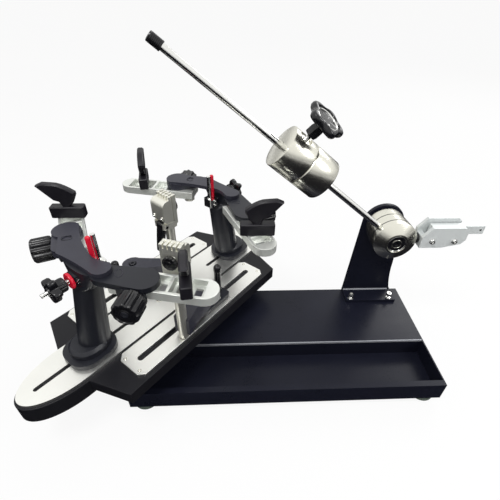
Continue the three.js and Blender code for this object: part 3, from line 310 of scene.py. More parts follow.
sheet("floor", (-GROUND, -GROUND), (GROUND, GROUND), 0.0, floor_finish())
card = sheet("dark_card", (-3.0, -4.0), (3.0, 2.5), CARD_LIFT, card_finish())
card.visible_camera = False
card.visible_diffuse = False
card.visible_shadow = False
card.visible_transmission = False
print("floor", GROUND * 2, "m wide")

# %% [markdown]
# ## Finishes
# Every finish is a Principled shader with three layers worked out from Object coordinates: a slow
# drift of tone, a fine grain that moves the roughness, and a relief for the bump. The Mapping node
# is of the Texture kind, so its scale is the size of one grain in metres. Brushed steel is the same
# recipe with a grain that is long in one direction. Photographs of metal could give the grain too,
# but noise has no seams and keeps its scale on every piece.

# %% Two noises, a fine grain and a slow drift
DRIFT_SCALE = 22.0  # drifts in a metre


def noises(tree, grain, turn):
    """Fine and slow noise of a material, both worked out from Object coordinates.

    grain is the size of one grain in millimetres, one number or one each for x, y and z, and turn
    is its direction in degrees."""
    spot = node_of(tree, "ShaderNodeTexCoord")
    size = tuple(float(g) * MM for g in np.broadcast_to(grain, 3))
    lie = {"Rotation": (0, 0, math.radians(turn)), "Scale": size}
    lay = node_of(tree, "ShaderNodeMapping", lie, vector_type="TEXTURE")
    tree.links.new(spot.outputs["Object"], lay.inputs["Vector"])
    fine = node_of(tree, "ShaderNodeTexNoise", {"Scale": 1.0, "Detail": 3.0})
    tree.links.new(lay.outputs[0], fine.inputs["Vector"])
    layers = {"Scale": DRIFT_SCALE, "Detail": 4.0, "Roughness": 0.6}
    slow = node_of(tree, "ShaderNodeTexNoise", layers)
    tree.links.new(spot.outputs["Object"], slow.inputs["Vector"])
    return fine, slow


print("one slow drift is about", round(1000 / DRIFT_SCALE), "mm long")

# %% One recipe for all finishes
FINISH = {}
SUM_LOW, SUM_HIGH = 0.7, 1.3  # where the sum of the two noises mostly lies
SMOOTHEST = 0.03
BUMP_STRENGTH = 0.5


def finish(slot, colour, roughness, grain, relief=0.0, metallic=0.0, drift=0.06, spread=0.06,
           turn=0.0, specular=0.5):
    """Material whose tone moves by the share drift and whose roughness moves by spread, with noise.

    relief is the height of its bump in millimetres."""
    gloss = {"Metallic": metallic, "Specular IOR Level": specular}
    made, tree, shader = new_material(slot, gloss)
    fine, slow = noises(tree, grain, turn)
    darker = (*[c * (1 - drift) for c in colour], 1)
    lighter = (*[min(1.0, c * (1 + drift)) for c in colour], 1)
    tone = node_of(tree, "ShaderNodeMix", {6: darker, 7: lighter}, data_type="RGBA")
    tree.links.new(slow.outputs["Fac"], tone.inputs[0])
    tree.links.new(tone.outputs[2], shader.inputs["Base Color"])
    both = node_of(tree, "ShaderNodeMath", operation="ADD")
    tree.links.new(fine.outputs["Fac"], both.inputs[0])
    tree.links.new(slow.outputs["Fac"], both.inputs[1])
    ends = {"From Min": SUM_LOW, "From Max": SUM_HIGH}
    ends |= {"To Min": max(SMOOTHEST, roughness - spread), "To Max": roughness + spread}
    rough = node_of(tree, "ShaderNodeMapRange", ends)
    tree.links.new(both.outputs[0], rough.inputs["Value"])
    tree.links.new(rough.outputs[0], shader.inputs["Roughness"])
    if relief:
        height_of = {"Strength": BUMP_STRENGTH, "Distance": relief * MM}
        bump = node_of(tree, "ShaderNodeBump", height_of)
        tree.links.new(fine.outputs["Fac"], bump.inputs["Height"])
        tree.links.new(bump.outputs[0], shader.inputs["Normal"])
    FINISH[slot] = made
    return made


print("finishes so far", len(FINISH))

# %% [markdown]
# The black parts are of three kinds: powder coat on the folded base, a duller paint on the cast
# arms and the turntable, and moulded plastic. The bright parts run from brushed plates through
# nickel and chrome to the pale cast sliders. Three finishes are variants of a slot of the record: a
# satin plastic for the hooks, a satin nickel for the clamps, and a lighter, part-metal grey on the
# strips of the two folds, which is a painted highlight.

# %% Painted, rubber and plastic finishes
finish("black_powder_coat", (0.009, 0.010, 0.019), 0.32, grain=1.6, relief=0.03, drift=0.2, specular=0.2)
finish("black_casting", (0.010, 0.011, 0.017), 0.40, grain=1.2, relief=0.05, drift=0.2, specular=0.42)
finish("black_frame", (0.010, 0.010, 0.013), 0.38, grain=1.6, relief=0.03, drift=0.2, specular=0.22)
finish("slate_casting", (0.026, 0.026, 0.040), 0.44, grain=0.9, relief=0.05, drift=0.12)
finish("foot_rubber", (0.10, 0.125, 0.105), 0.8, grain=1.0, relief=0.08, drift=0.12, specular=0.2)
finish("black_plastic", (0.007, 0.007, 0.009), 0.20, grain=0.6, relief=0.01, drift=0.2, spread=0.04,
       specular=0.45)
finish("satin_plastic", (0.009, 0.008, 0.012), 0.42, grain=0.8, relief=0.02, drift=0.2, specular=0.32)
# A lighter, part-metal grey for the strips along both folds: a painted highlight.
finish("painted_highlight_fold", (0.30, 0.31, 0.34), 0.34, grain=1.6, relief=0.02, metallic=0.35, drift=0.1)
print("dark finishes", len(FINISH))

# %% Metal finishes and the red one
finish("brushed_steel", (0.92, 0.92, 0.88), 0.34, grain=(60.0, 0.6, 3.0), relief=0.006, metallic=1.0,
       drift=0.03, turn=RAIL_TURN)
finish("cast_aluminium", (0.88, 0.90, 0.86), 0.40, grain=1.1, relief=0.05, metallic=0.66)
finish("nickel", (0.80, 0.785, 0.70), 0.25, grain=3.0, metallic=1.0, drift=0.04, spread=0.015)
finish("satin_nickel", (0.86, 0.85, 0.77), 0.34, grain=1.0, relief=0.02, metallic=0.86, drift=0.04,
       spread=0.03)
finish("chrome", (0.84, 0.84, 0.82), 0.12, grain=6.0, metallic=1.0, drift=0.02, spread=0.03)
finish("pale_aluminium", (0.71, 0.74, 0.74), 0.48, grain=0.8, relief=0.02, metallic=0.25, drift=0.03,
       spread=0.05)
finish("red", (0.74, 0.008, 0.035), 0.26, grain=1.4, relief=0.02, drift=0.08)

# %% [markdown]
# ## Broken edges
# No real plate has a perfectly sharp edge: the cutter or the powder leaves a small round, and that
# round is what catches the light. A CAD node is loose triangles, so it is copied, its doubles are
# merged, its flat faces made whole, and a narrow bevel put on every edge that is sharper than a
# set angle. A sheet with holes in it can't be made of whole faces, so the base keeps its triangles,
# and a modifier that weighs normals by the size of the faces keeps its walls flat to the light.

# %% Copy a CAD node with its edges broken
DRESSED = {}
SAME_POINT = 2e-6  # metres


def dressed(node, slot, edge, sharp=30.0, whole=True):
    """Copy of a CAD node with merged doubles and beveled edges, which stands for the node.

    edge is the bevel's width in millimetres, on edges that turn by more than sharp degrees."""
    mesh = frame["nodes"][node].data.copy()
    work = bmesh.new()
    work.from_mesh(mesh)
    bmesh.ops.remove_doubles(work, verts=work.verts, dist=SAME_POINT)
    if whole:
        bmesh.ops.dissolve_limit(work, angle_limit=math.radians(0.3), verts=work.verts, edges=work.edges)
    work.to_mesh(mesh)
    work.free()
    mesh.materials.clear()
    mesh.materials.append(FINISH[slot])
    mesh.shade_smooth()
    mesh.set_sharp_from_angle(angle=math.radians(sharp))
    piece = bpy.data.objects.new(f"{node}_dressed", mesh)
    bpy.context.scene.collection.objects.link(piece)
    bevel = piece.modifiers.new("broken_edge", "BEVEL")
    bevel.width = edge * MM
    bevel.segments = 2
    bevel.limit_method = "ANGLE"
    bevel.angle_limit = math.radians(sharp)
    bevel.harden_normals = whole
    if not whole:
        even = piece.modifiers.new("even_normals", "WEIGHTED_NORMAL")
        even.keep_sharp = True
    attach(piece, BODY_OF[node])
    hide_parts(node)
    DRESSED[node] = piece
    return piece


dressed("base_pan", "black_powder_coat", edge=0.6, whole=False)
print("the base's edges", len(DRESSED["base_pan"].data.edges))

# %% Dress the rest of the machine's solids
dressed("tension_bracket", "black_powder_coat", edge=0.6)
dressed("turntable_frame", "black_frame", edge=0.7)
dressed("pivot_base", "black_casting", edge=0.6)
for node in ("center_rail", "side_plate_front", "side_plate_rear"):
    dressed(node, "brushed_steel", edge=0.35)
for side in TOWERS:
    dressed(f"{side}_tower", "black_casting", edge=0.6)
    dressed(f"{side}_link", "slate_casting", edge=0.8)
    dressed(f"{side}_support", "chrome", edge=0.4)
    for hand in ("left", "right"):
        dressed(f"{side}_{hand}_slider", "cast_aluminium", edge=0.5)
        dressed(f"{side}_{hand}_hook", "satin_plastic", edge=0.7)
    dressed(f"{side}_clamp_base", "black_casting", edge=0.7)
    dressed(f"{side}_clamp_arm", "slate_casting", edge=0.8)
    dressed(f"{side}_clamp_post", "satin_nickel", edge=0.35)
    dressed(f"{side}_clamp_jaw", "satin_nickel", edge=0.5)
    dressed(f"{side}_clamp_lever", "black_plastic", edge=0.5)
dressed("gripper_body", "pale_aluminium", edge=0.7)
dressed("gripper_jaw", "pale_aluminium", edge=0.4)
print("dressed copies", len(DRESSED))

# %% [markdown]
# ## Turned pieces
# Most hardware is turned: a profile of radius and height carried round an axis. A third number in
# each profile row says how far that ring takes a wavy or six-sided form in place of a circle, so one
# function makes ribbed knobs, star knobs and socket screws. Blender's Screw modifier turns a profile
# too, but only into circles.

# %% A profile carried round an axis
def ribbed(count, depth):
    """Radius factor 1 minus half the depth times one minus the cosine of count times the angle."""
    return lambda angle: 1 - depth / 2 * (1 - np.cos(count * angle))


def hexagon(angle):
    """Radius factor of a six-sided outline whose corners are at 1."""
    sixth = math.pi / 3
    return math.cos(sixth / 2) / np.cos(np.mod(angle, sixth) - sixth / 2)


def lathe(profile, steps=64, form=None):
    """Rings of the profile's radii at its heights, whose radius is the row's times a factor.

    The factor is (1 - w) for the circle plus w times the form's factor at that angle, where w is
    the row's third number, or 0 if it has none."""
    rows = np.array([(*row, 0.0)[:3] for row in profile], float)
    angle = np.linspace(0, 2 * math.pi, steps, endpoint=False)
    factor = np.ones_like(angle) if form is None else form(angle)
    radius = rows[:, :1] * (1 - rows[:, 2:] + rows[:, 2:] * factor)
    heights = np.broadcast_to(rows[:, 1:2], radius.shape)
    return np.stack([radius * np.cos(angle), radius * np.sin(angle), heights], -1)


def disc(radius, low, high, edge=0.4):
    """Profile rows of a disc between two heights with both its rims rounded by a quarter circle."""
    bend = np.linspace(0, math.pi / 2, 4)
    foot = [(radius - edge + edge * math.sin(b), low + edge - edge * math.cos(b)) for b in bend]
    crown = [(radius - edge + edge * math.cos(b), high - edge + edge * math.sin(b)) for b in bend]
    return [(0, low), *foot, *crown, (0, high)]


print("turned pieces take", len(disc(3, 0, 2)), "profile rows for a plain disc")

# %% A piece from grids of points
def grid_faces(rows, columns):
    """Four-sided faces between neighbouring rows, closed round the columns."""
    row, column = np.meshgrid(np.arange(rows - 1), np.arange(columns), indexing="ij")
    beside = (column + 1) % columns
    here, above = row * columns, (row + 1) * columns
    return np.stack([here + column, here + beside, above + beside, above + column], -1).reshape(-1, 4)


def make(name, grids, at, body, slot, smooth=35.0, stands_for=None):
    """One piece from grids of points: carried to its place, closed, turned outwards and finished."""
    points, faces, first = [], [], 0
    for grid in grids:
        flat = grid.reshape(-1, 3)
        points.append(flat)
        faces.append(grid_faces(*grid.shape[:2]) + first)
        first += len(flat)
    points = np.concatenate(points)
    carried = (np.c_[points, np.ones(len(points))] @ np.asarray(at).T)[:, :3] * MM
    mesh = bpy.data.meshes.new(name)
    mesh.from_pydata(carried.tolist(), [], np.concatenate(faces).tolist())
    work = bmesh.new()
    work.from_mesh(mesh)
    bmesh.ops.remove_doubles(work, verts=work.verts, dist=SAME_POINT / 2)
    caps = [e for e in work.edges if e.is_boundary]
    if caps:
        bmesh.ops.holes_fill(work, edges=caps, sides=0)
    bmesh.ops.recalc_face_normals(work, faces=work.faces)
    work.to_mesh(mesh)
    work.free()
    mesh.materials.append(FINISH[slot])
    mesh.shade_smooth()
    mesh.set_sharp_from_angle(angle=math.radians(smooth))
    piece = bpy.data.objects.new(name, mesh)
    bpy.context.scene.collection.objects.link(piece)
    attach(piece, body)
    if stands_for:
        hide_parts(stands_for)
    return piece


print("faces between two rings of 64 points", len(grid_faces(2, 64)))

# %% [markdown]
# ## Socket screws
# The bracket, the plates, the supports and the gripper are all held by screws with a hexagon
# socket. The socket could be cut with a Boolean, but the head is turned anyway: its rim is rounded,
# and the inner rings of the profile take the six-sided form.

# %% Two kinds of screw
def socket_screw(name, at, radius, height, body, slot="chrome", sunk=0.2):
    """Cap screw whose head stands height above its seat; its foot is sunk below the frame's origin.

    The socket's corners are at 0.52 of the head's radius, and its depth is 0.55 of the height."""
    key = radius * 0.52
    dish = height * 0.55
    rows = [(0, -sunk), (radius, -sunk), (radius, height * 0.82), (radius * 0.985, height * 0.92)]
    rows += [(radius * 0.94, height * 0.98), (radius * 0.8, height), (key * 1.2, height - 0.05)]
    rows += [(key, height - 0.3, 1), (key, height - dish, 1), (0, height - dish)]
    return make(name, [lathe(rows, 48, hexagon)], at, body, slot)


def countersunk(name, at, radius, body, slot="chrome"):
    """Flush screw: a shallow cone with a six-sided socket, standing a hair above its plate."""
    rows = [(0, -0.6), (radius * 0.9, -0.6), (radius, 0.04), (radius * 0.93, 0.15)]
    rows += [(radius * 0.55, 0.15), (radius * 0.5, 0.05, 1), (radius * 0.46, -0.4, 1), (0, -0.4)]
    return make(name, [lathe(rows, 36, hexagon)], at, body, slot)


BRACKET_SHEET = 6.0
BOLT_TOP = DECK_TOP + BRACKET_SHEET
STUD = [(0, -0.2), (1.9, -0.2), (1.9, 7), (0, 7)]
for number, (x, y) in enumerate(((160.4, 33.0), (231.4, 33.0))):
    bolt_at = place(FLOOR, x, y, BOLT_TOP)
    make(f"bracket_stud_{number}", [lathe(STUD, 32)], bolt_at, "base", "chrome")
    socket_screw(f"bracket_screw_{number}", place(bolt_at, z=6.2), 4.3, 5.4, "base", sunk=0.0)
    washer = lathe(disc(4.6, -0.1, 1.0, 0.3), 40)
    make(f"bracket_washer_{number}", [washer], bolt_at, "base", "chrome")
print("bracket bolts", number + 1)

# %% Screws of the turntable
PLATE_OFF = 64.55  # from the rail's middle to a side plate's
PLATE_SCREW_ALONG, PLATE_SCREW_ASIDE = 129.0, 15.0
RAIL_SCREW_ALONG = 26.5
for plate_side in (-1, 1):
    for end in (-1, 1):
        for row in (-1, 1):
            aside = plate_side * PLATE_OFF + row * PLATE_SCREW_ASIDE
            spot = place(TABLE, end * PLATE_SCREW_ALONG, aside)
            name = f"plate_screw_{plate_side + 1}{end + 1}{row + 1}"
            countersunk(name, spot, 2.6, "turntable", "nickel")
for end in (-1, 1):
    spot = place(TABLE, end * RAIL_SCREW_ALONG)
    countersunk(f"rail_screw_{end + 1}", spot, 5.2, "turntable", "nickel")

# %% [markdown]
# ## Bracket's fold
# The bracket is bent from one sheet, so the inside of its fold is a hollow round. It shows as one
# bright line where the upright meets its foot. A bevel would round it only if the two walls were
# one mesh there, so a strip is laid in: a quarter of a circle carried along the fold. The strip's
# lighter, part-metal grey is a painted highlight that keeps the line bright.

# %% Bracket's fold
def hollow_fold(length, radius, bed=0.3, steps=8):
    """Strip from x = 0 to length; its section is a corner square less a quarter circle of that radius.

    The square's outer corner lies bed below both faces."""
    bend = np.linspace(0, math.pi / 2, steps)
    arc = np.stack([radius * np.sin(bend) - radius, radius - radius * np.cos(bend)], -1)
    section = np.concatenate([[[bed, -bed]], [[-radius, -bed]], arc, [[bed, radius]]])
    ends = [np.c_[np.full(len(section), x), section] for x in (0.0, length)]
    return np.stack(ends)


FOLD_LENGTH, FOLD_RADIUS = 85.0, 2.2
FOLD_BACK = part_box("tension_bracket")[1][1] / MM - BRACKET_SHEET
FOLD_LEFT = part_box("tension_bracket")[0][0] / MM + 1.0
fold = hollow_fold(FOLD_LENGTH, FOLD_RADIUS)
fold_at = place(FLOOR, FOLD_LEFT, FOLD_BACK, BOLT_TOP)
# This strip's lighter grey is a painted highlight along the bracket's inside fold.
make("bracket_fold", [fold], fold_at, "base", "painted_highlight_fold", smooth=50)
print("fold from", round(FOLD_LEFT), "to", round(FOLD_LEFT + FOLD_LENGTH))

# %% [markdown]
# ## Deck's front fold
# The deck's front edge is a fold too, and a bright line runs along its length: a strip of lighter,
# part-metal grey, which is a painted highlight. The section of the strip is a part of a circle whose
# centre lies inside the sheet, so that it stands proud of both faces by the difference of its radius
# and the depth of its centre. A mask could paint the highlight too, but a strip of its own keeps the
# line even and crisp.

# %% Deck's front fold
def rolled_fold(low, high, depth, radius, steps=14):
    """Strip along x whose section is an arc from 35 degrees below the front to 35 behind the top."""
    bend = np.radians(np.linspace(-35, 125, steps))
    arc = np.stack([depth - radius * np.cos(bend), radius * np.sin(bend) - depth], -1)
    section = np.concatenate([arc, [[depth, -depth]]])
    return np.stack([np.c_[np.full(len(section), x), section] for x in (low, high)])


DECK_FRONT = -63.0
FOLD_INSET = 2.0
PAN_LEFT, PAN_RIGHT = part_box("base_pan")[0][0] / MM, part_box("base_pan")[1][0] / MM
deck_fold = rolled_fold(PAN_LEFT + FOLD_INSET, PAN_RIGHT - FOLD_INSET, depth=1.6, radius=1.95)
deck_fold_at = place(FLOOR, 0, DECK_FRONT, DECK_TOP)
# This strip's lighter grey is a painted highlight along the deck's front fold.
make("deck_fold", [deck_fold], deck_fold_at, "base", "painted_highlight_fold", smooth=50)
print("deck's fold", round(PAN_RIGHT - PAN_LEFT - 2 * FOLD_INSET), "mm long")

# %% [markdown]
# ## Feet
# Four turned rubber feet, with a soft skirt that spreads on the table under the machine's weight. In
# the photograph the skirts of the front ones show below the tray's wall. A sculpted bulge would do,
# but rubber under a load bulges evenly, so a profile says it all.

# %% Rubber feet
FOOT = [
    (0, 0), (15.5, 0), (17.6, 0.5), (18.8, 1.8), (18.9, 3.4), (18.2, 4.8), (16.4, 6.4), (15, 8.4),
    (14.8, 11.4), (14.4, 12), (0, 12),
]
for node in [n for n in frame["nodes"] if n.startswith("foot_")]:
    spot = middle(node)
    foot_at = place(FLOOR, spot[0], spot[1])
    make(f"{node}_rubber", [lathe(FOOT, 48)], foot_at, "base", "foot_rubber", stands_for=node)
print("foot height", FOOT[-1][1], "mm")

# %% [markdown]
# ## Ribbed knobs
# Each slider is wound in and out by a round knob with twelve flutes and a dished end that carries a
# small button. Twelve cutters could carve the flutes, but a wave in the radius is smoother, and it
# fades out at the rounded ends, as the third number of the rows falls to nothing.

# %% Arms' knobs
FLUTES = ribbed(12, 0.15)
KNOB = [
    (0, 25.1), (13.2, 25.1), (14.6, 25.5, 0.3), (16.1, 27.0, 0.9), (16.5, 28.5, 1), (16.5, 47.6, 1),
    (16.1, 49.4, 0.9), (15.0, 50.7, 0.4), (13.6, 51.1), (12.4, 51.1), (12.0, 50.6), (11.8, 49.5),
    (6.0, 49.2), (5.6, 49.6), (0, 49.8),
]
SHAFT = [(0, 18.2), (3.5, 18.2), (3.5, 26), (0, 26)]
BUTTON = [(0, 49.5), (4.4, 49.5), (4.4, 50.1), (4.0, 50.5), (1.8, 50.5), (1.6, 50.0), (0, 50.0)]
for side in TOWERS:
    for hand in ("left", "right"):
        body = f"{side}_{hand}_knob"
        axis = on_joint(f"{body}_turn")
        grip = [lathe(KNOB, 144, FLUTES), lathe(SHAFT, 32)]
        make(f"{body}_grip", grip, axis, body, "black_plastic", stands_for=body)
        make(f"{body}_button", [lathe(BUTTON, 36)], axis, body, "black_casting")
print("knob diameter", 2 * KNOB[4][0], "mm")

# %% [markdown]
# ## Adjusting screws
# A threaded rod moves the support block under each arm. The thread is a surface of two parameters:
# the radius falls and rises with the height less the turn, so the crest runs round as a helix. A
# coil wound round a rod would leave a seam. The lobed knob sits on a grooved hub, a red ring marks
# the screw, and a red pin stands on the support block.

# %% Thread, lobed knob and ring
def threaded(radius, low, high, pitch, depth=0.55, around=24):
    """Rod whose radius falls by twice the depth times the distance of a phase from a half.

    The phase is the part after the point of (height / pitch - turn), and both ends taper."""
    angle = np.linspace(0, 2 * math.pi, around, endpoint=False)
    heights = np.arange(low, high, pitch / 6)
    phase = np.mod(heights[:, None] / pitch - angle[None] / (2 * math.pi), 1)
    fall = depth * 2 * np.abs(phase - 0.5)
    to_end = np.minimum(heights - low, heights[-1] - heights)
    taper = np.clip(to_end / (pitch * 0.8), 0, 1)[:, None]
    r = radius - depth * (1 - taper) - fall * taper
    up_rod = np.broadcast_to(heights[:, None], r.shape)
    rod = np.stack([r * np.cos(angle), r * np.sin(angle), up_rod], -1)
    low_pole, high_pole = np.zeros((1, around, 3)), np.zeros((1, around, 3))
    low_pole[..., 2], high_pole[..., 2] = heights[0], heights[-1]
    return np.concatenate([low_pole, rod, high_pole])


STAR = ribbed(5, 0.36)
HUB_GROOVES = ribbed(16, 0.09)
HUB = [
    (0, 1), (7.6, 1, 0.0), (8.6, 1.6, 0.3), (9, 3, 1), (9, 10.4, 1), (8.6, 11.2, 0.5), (7.5, 11.6),
    (0, 11.6),
]
LOBED = [
    (0, 10.8), (11.5, 10.8, 0.6), (14.9, 11.5, 0.9), (16, 13.0, 1), (16, 18.6, 1), (15.2, 20.2, 0.95),
    (13.4, 21, 0.9), (9.6, 21, 0.5), (9.0, 20.2, 0.2), (6.2, 20.0), (5.6, 21.6), (0, 21.6),
]
RING = [
    (3.5, -7), (9.5, -7), (10.2, -6.7), (10.5, -6), (10.5, -4), (10.2, -3.3), (9.5, -3), (3.5, -3),
    (3.5, -7),
]
PIN = [(0, 130.3), (3.2, 130.3), (3.2, 165.4), (3.0, 166.6), (2.3, 167.6), (1.1, 168), (0, 168)]
print("lobed knob", 2 * LOBED[3][0], "mm across")

# %% Adjusting screws, red pins and the towers' boss screws
PITCH = 1.25
THREAD_LOW, THREAD_HIGH = -45.3, 29.8
PIN_IN = 40.2
TOWER_FACE = -8.5
BOSS_SCREW_IN, BOSS_SCREW_Z = 12.0, 123.0
for side, (out, tower) in TOWERS.items():
    body = f"{side}_adjuster"
    axis = on_joint(f"{body}_turn")
    grip = [lathe(HUB, 96, HUB_GROOVES), lathe(LOBED, 120, STAR)]
    make(f"{body}_knob", grip, axis, body, "black_plastic", stands_for=body)
    thread = threaded(2.9, THREAD_LOW, THREAD_HIGH, PITCH)
    make(f"{body}_screw", [thread], axis, body, "chrome", smooth=60)
    ring = [lathe(RING, 56)]
    make(f"{body}_red_ring", ring, axis, body, "red", stands_for=f"{side}_adjuster_ring")
    support = f"{side}_support"
    pin_at = place(tower, -out * PIN_IN)
    make(f"{support}_red_pin", [lathe(PIN, 36)], pin_at, support, "red", stands_for=f"{support}_pin")
    boss_at = place(tower, -out * BOSS_SCREW_IN, TOWER_FACE, BOSS_SCREW_Z) @ LIE_FRONT
    socket_screw(f"{side}_boss_screw", boss_at, 3.4, 2.2, f"{side}_tower")
print("thread crests", round((THREAD_HIGH - THREAD_LOW) / PITCH))

# %% [markdown]
# ## Marks on the arms
# The castings carry a thin raised oval where the mould was gated. It could be a bump in the paint,
# but a bump has no edge to catch the light, so a tube of small radius is carried round an ellipse.

# %% Oval marks
def oval_tube(long, short, thick, steps=72, around=8):
    """Tube round an ellipse: each ring lies in the plane of the outward direction and the upright."""
    t = np.linspace(0, 2 * math.pi, steps, endpoint=False)[:, None]
    a = np.linspace(0, 2 * math.pi, around, endpoint=False)[None]
    x = (long + thick * np.cos(a)) * np.cos(t)
    y = (short + thick * np.cos(a)) * np.sin(t)
    rings = np.stack([x, y, thick * np.sin(a) + 0 * t], -1)
    return np.concatenate([rings, rings[:1]])


MARK = [oval_tube(7.0, 4.5, 0.4)]
MARK_TURN = 52.0
for side, (out, tower) in TOWERS.items():
    arm_spot = place(tower, -out * 41.0, -50.0, 138.05, -out * MARK_TURN)
    make(f"{side}_arm_mark", MARK, arm_spot, f"{side}_tower", "slate_casting", smooth=80)
    link_spot = place(tower, -out * 37.75, 51.8, 144.05, out * MARK_TURN)
    make(f"{side}_link_mark", MARK, link_spot, f"{side}_tower", "black_casting", smooth=80)

# %% [markdown]
# ## Sliders' stops
# Under the inner end of each slider sits a bright stop that keeps it from being wound out. It is a
# plain turned disc. A bevel could round it, but its rims are quarter circles in the profile itself,
# which keeps them even.

# %% Stops
SPLAY = math.radians(27.6)
ARM_END_X, ARM_END_Y = 50.5, 64.0
STOP_BACK, STOP_ASIDE = 15.0, 4.4
STOP = disc(8.5, 104.0, 113.5, 1.2)


def arm_frame(tower, out, across):
    """Frame on a slider's centre line, with x outward to its knob, and the sign of its y along it.

    Its turn is the angle of the direction (out cos splay, across sin splay)."""
    turn = math.degrees(math.atan2(across * math.sin(SPLAY), out * math.cos(SPLAY)))
    return place(tower, -out * ARM_END_X, across * ARM_END_Y, 0, turn), out * across


for side, (out, tower) in TOWERS.items():
    for hand, across in (("left", 1), ("right", -1)):
        arm, along = arm_frame(tower, out, across)
        stop_at = place(arm, 0, -along * STOP_BACK, STOP_ASIDE)
        slider = f"{side}_{hand}_slider"
        make(f"{slider}_stop", [lathe(STOP, 48)], stop_at, slider, "satin_nickel")

# %% [markdown]
# ## String clamps
# The dial on each clamp head, the lock handle and the small screws of the head. The dial has sixteen
# ribs and a dished face, and the handle is a round-topped pillar. Both are turned as the knobs are,
# and both stand on their hinge's own axis, so they turn in place.

# %% Clamp profiles
DIAL_RIBS = ribbed(16, 0.1)
DIAL = [
    (0, 7.1), (8.9, 7.1, 0.2), (9.6, 7.7, 0.8), (9.8, 8.6, 1), (9.8, 11.8, 1), (9.5, 12.4, 0.8),
    (8.8, 12.7, 0.2), (8.1, 12.7), (7.8, 12.3), (7.4, 12.0), (3.6, 12.0), (3.3, 12.5), (0, 12.5),
]
LOCK = [
    (0, 0.6), (2.9, 0.6), (2.9, 8.5), (6, 8.5), (6, 10), (5.5, 11), (5.5, 49), (6, 50), (6, 55),
    (5.9, 56.4), (5.5, 57.8), (4.6, 59.4), (3.2, 60.5), (1.6, 60.95), (0, 61),
]


def head_frame(side):
    """Frame on a clamp's post: upright along the post, x along the dial's axis."""
    dial = np.array(JOINT[f"{side}_clamp_dial_turn"]["axis"], float)
    return axes_at(dial, np.cross((0, 0, 1), dial), (0, 0, 1), joint_spot(f"{side}_clamp_dial_turn"))


def base_frame(swing_at, lock_at):
    """Frame on the arm's hinge, turned about it so that x points at the lock."""
    toward = lock_at[:3, 3] - swing_at[:3, 3]
    return place(swing_at, turn=math.degrees(math.atan2(toward[1], toward[0])))


print("lock handle", LOCK[-1][1], "mm high")

# %% Clamp hardware
BASE_TOP, PIVOT_TOP = 8.0, 36.5
CAP_X, CAP_Y = -14.0, 9.0
FLUSH_X, FLUSH_Y = 17.5, 12.0
JAW_SCREW = (-18.0, 8.5, -9.0)
for side in TOWERS:
    dial, lock, base = f"{side}_clamp_dial", f"{side}_clamp_lock", f"{side}_clamp_base"
    dial_at = on_joint(f"{dial}_turn")
    dial_grid = [lathe(DIAL, 128, DIAL_RIBS)]
    make(f"{side}_clamp_ribbed_dial", dial_grid, dial_at, dial, "black_plastic", stands_for=dial)
    lock_at = on_joint(f"{lock}_turn")
    lock_at[2, 3] = RAIL_TOP
    make(f"{lock}_handle", [lathe(LOCK, 48)], lock_at, lock, "black_plastic", stands_for=lock)
    swing_at = on_joint(f"{side}_clamp_arm_swing")
    swing_at[2, 3] = RAIL_TOP
    base_at = base_frame(swing_at, lock_at)
    for number, hand in enumerate((1, -1)):
        cap_at = place(base_at, CAP_X, hand * CAP_Y, BASE_TOP)
        socket_screw(f"{base}_screw_{number}", cap_at, 3.4, 2.2, base)
        flush_at = place(base_at, FLUSH_X, hand * FLUSH_Y, BASE_TOP)
        countersunk(f"{base}_flush_screw_{number}", flush_at, 3.4, base)
    pivot_at = place(base_at, z=PIVOT_TOP)
    socket_screw(f"{side}_clamp_pivot_screw", pivot_at, 5.0, 2.8, base, "black_casting")
    for number, hand in enumerate((-1, 1)):
        jaw_at = place(head_frame(side), JAW_SCREW[0], hand * JAW_SCREW[1], JAW_SCREW[2])
        jaw = f"{side}_clamp_jaw"
        socket_screw(f"{jaw}_screw_{number}", jaw_at @ LIE_BACK_X, 2.4, 0.9, jaw)

# %% [markdown]
# ## Tension drum
# The drum is turned from one nickel-plated billet: a slow taper with two thin grooves, a conical
# front and a ball bearing pressed into its face. The rod's bore and the flat for the gripper are cut
# with a Boolean, because a cut is how the shop makes them and their edges come out true.

# %% Where the drum stands
DRUM_HUB = 10.3
PULL_BEFORE_BACK = 38.5
ROD_RISE = 38.4  # degrees above the floor
DRUM_X, _, DRUM_Z = joint_spot("drum_turn")
DRUM_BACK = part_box("tension_drum")[1][1] / MM - DRUM_HUB
PULL_Y = DRUM_BACK - PULL_BEFORE_BACK
ROD_TURN = math.radians(ROD_RISE - 90)
DRUM_AT = place(FLOOR, DRUM_X, DRUM_BACK, DRUM_Z)
PULL_AT = place(FLOOR, DRUM_X, PULL_Y, DRUM_Z)
c, s = math.cos(ROD_TURN), math.sin(ROD_TURN)
ROD_AT = PULL_AT @ axes_at((c, 0, -s), (0, 1, 0), (s, 0, c), (0, 0, 0))
print("drum", round(DRUM_X, 1), round(DRUM_BACK, 1), "pull plane", round(PULL_Y, 1))

# %% Taper, grooves and the cut
RIDGE, RIDGE_RADIUS, BACK_RADIUS = 48.5, 33.5, 30.5
GROOVES = (18.5, 37.0)


def skin(z):
    """Radius of the tapered drum at a height: a straight line from the back's to the ridge's."""
    return BACK_RADIUS + (RIDGE_RADIUS - BACK_RADIUS) * z / RIDGE


def groove(at, wide=1.4, deep=1.5):
    """Profile rows of a narrow turned groove that starts at that height."""
    floor = skin(at) - deep
    return [(skin(at), at), (floor, at + 0.1), (floor, at + 1.2), (skin(at + wide), at + wide)]


def carve(piece, tool):
    """Cuts the tool's body out of the piece and removes the tool."""
    cut = piece.modifiers.new("cut", "BOOLEAN")
    cut.operation, cut.object, cut.solver = "DIFFERENCE", tool, "EXACT"
    bpy.context.view_layer.update()
    shown = piece.evaluated_get(bpy.context.evaluated_depsgraph_get())
    worked = bpy.data.meshes.new_from_object(shown)
    piece.modifiers.remove(cut)
    piece.data = worked
    bpy.data.objects.remove(tool)
    worked.set_sharp_from_angle(angle=math.radians(35))
    return piece


print("drum's radius from", BACK_RADIUS, "to", RIDGE_RADIUS, "mm")

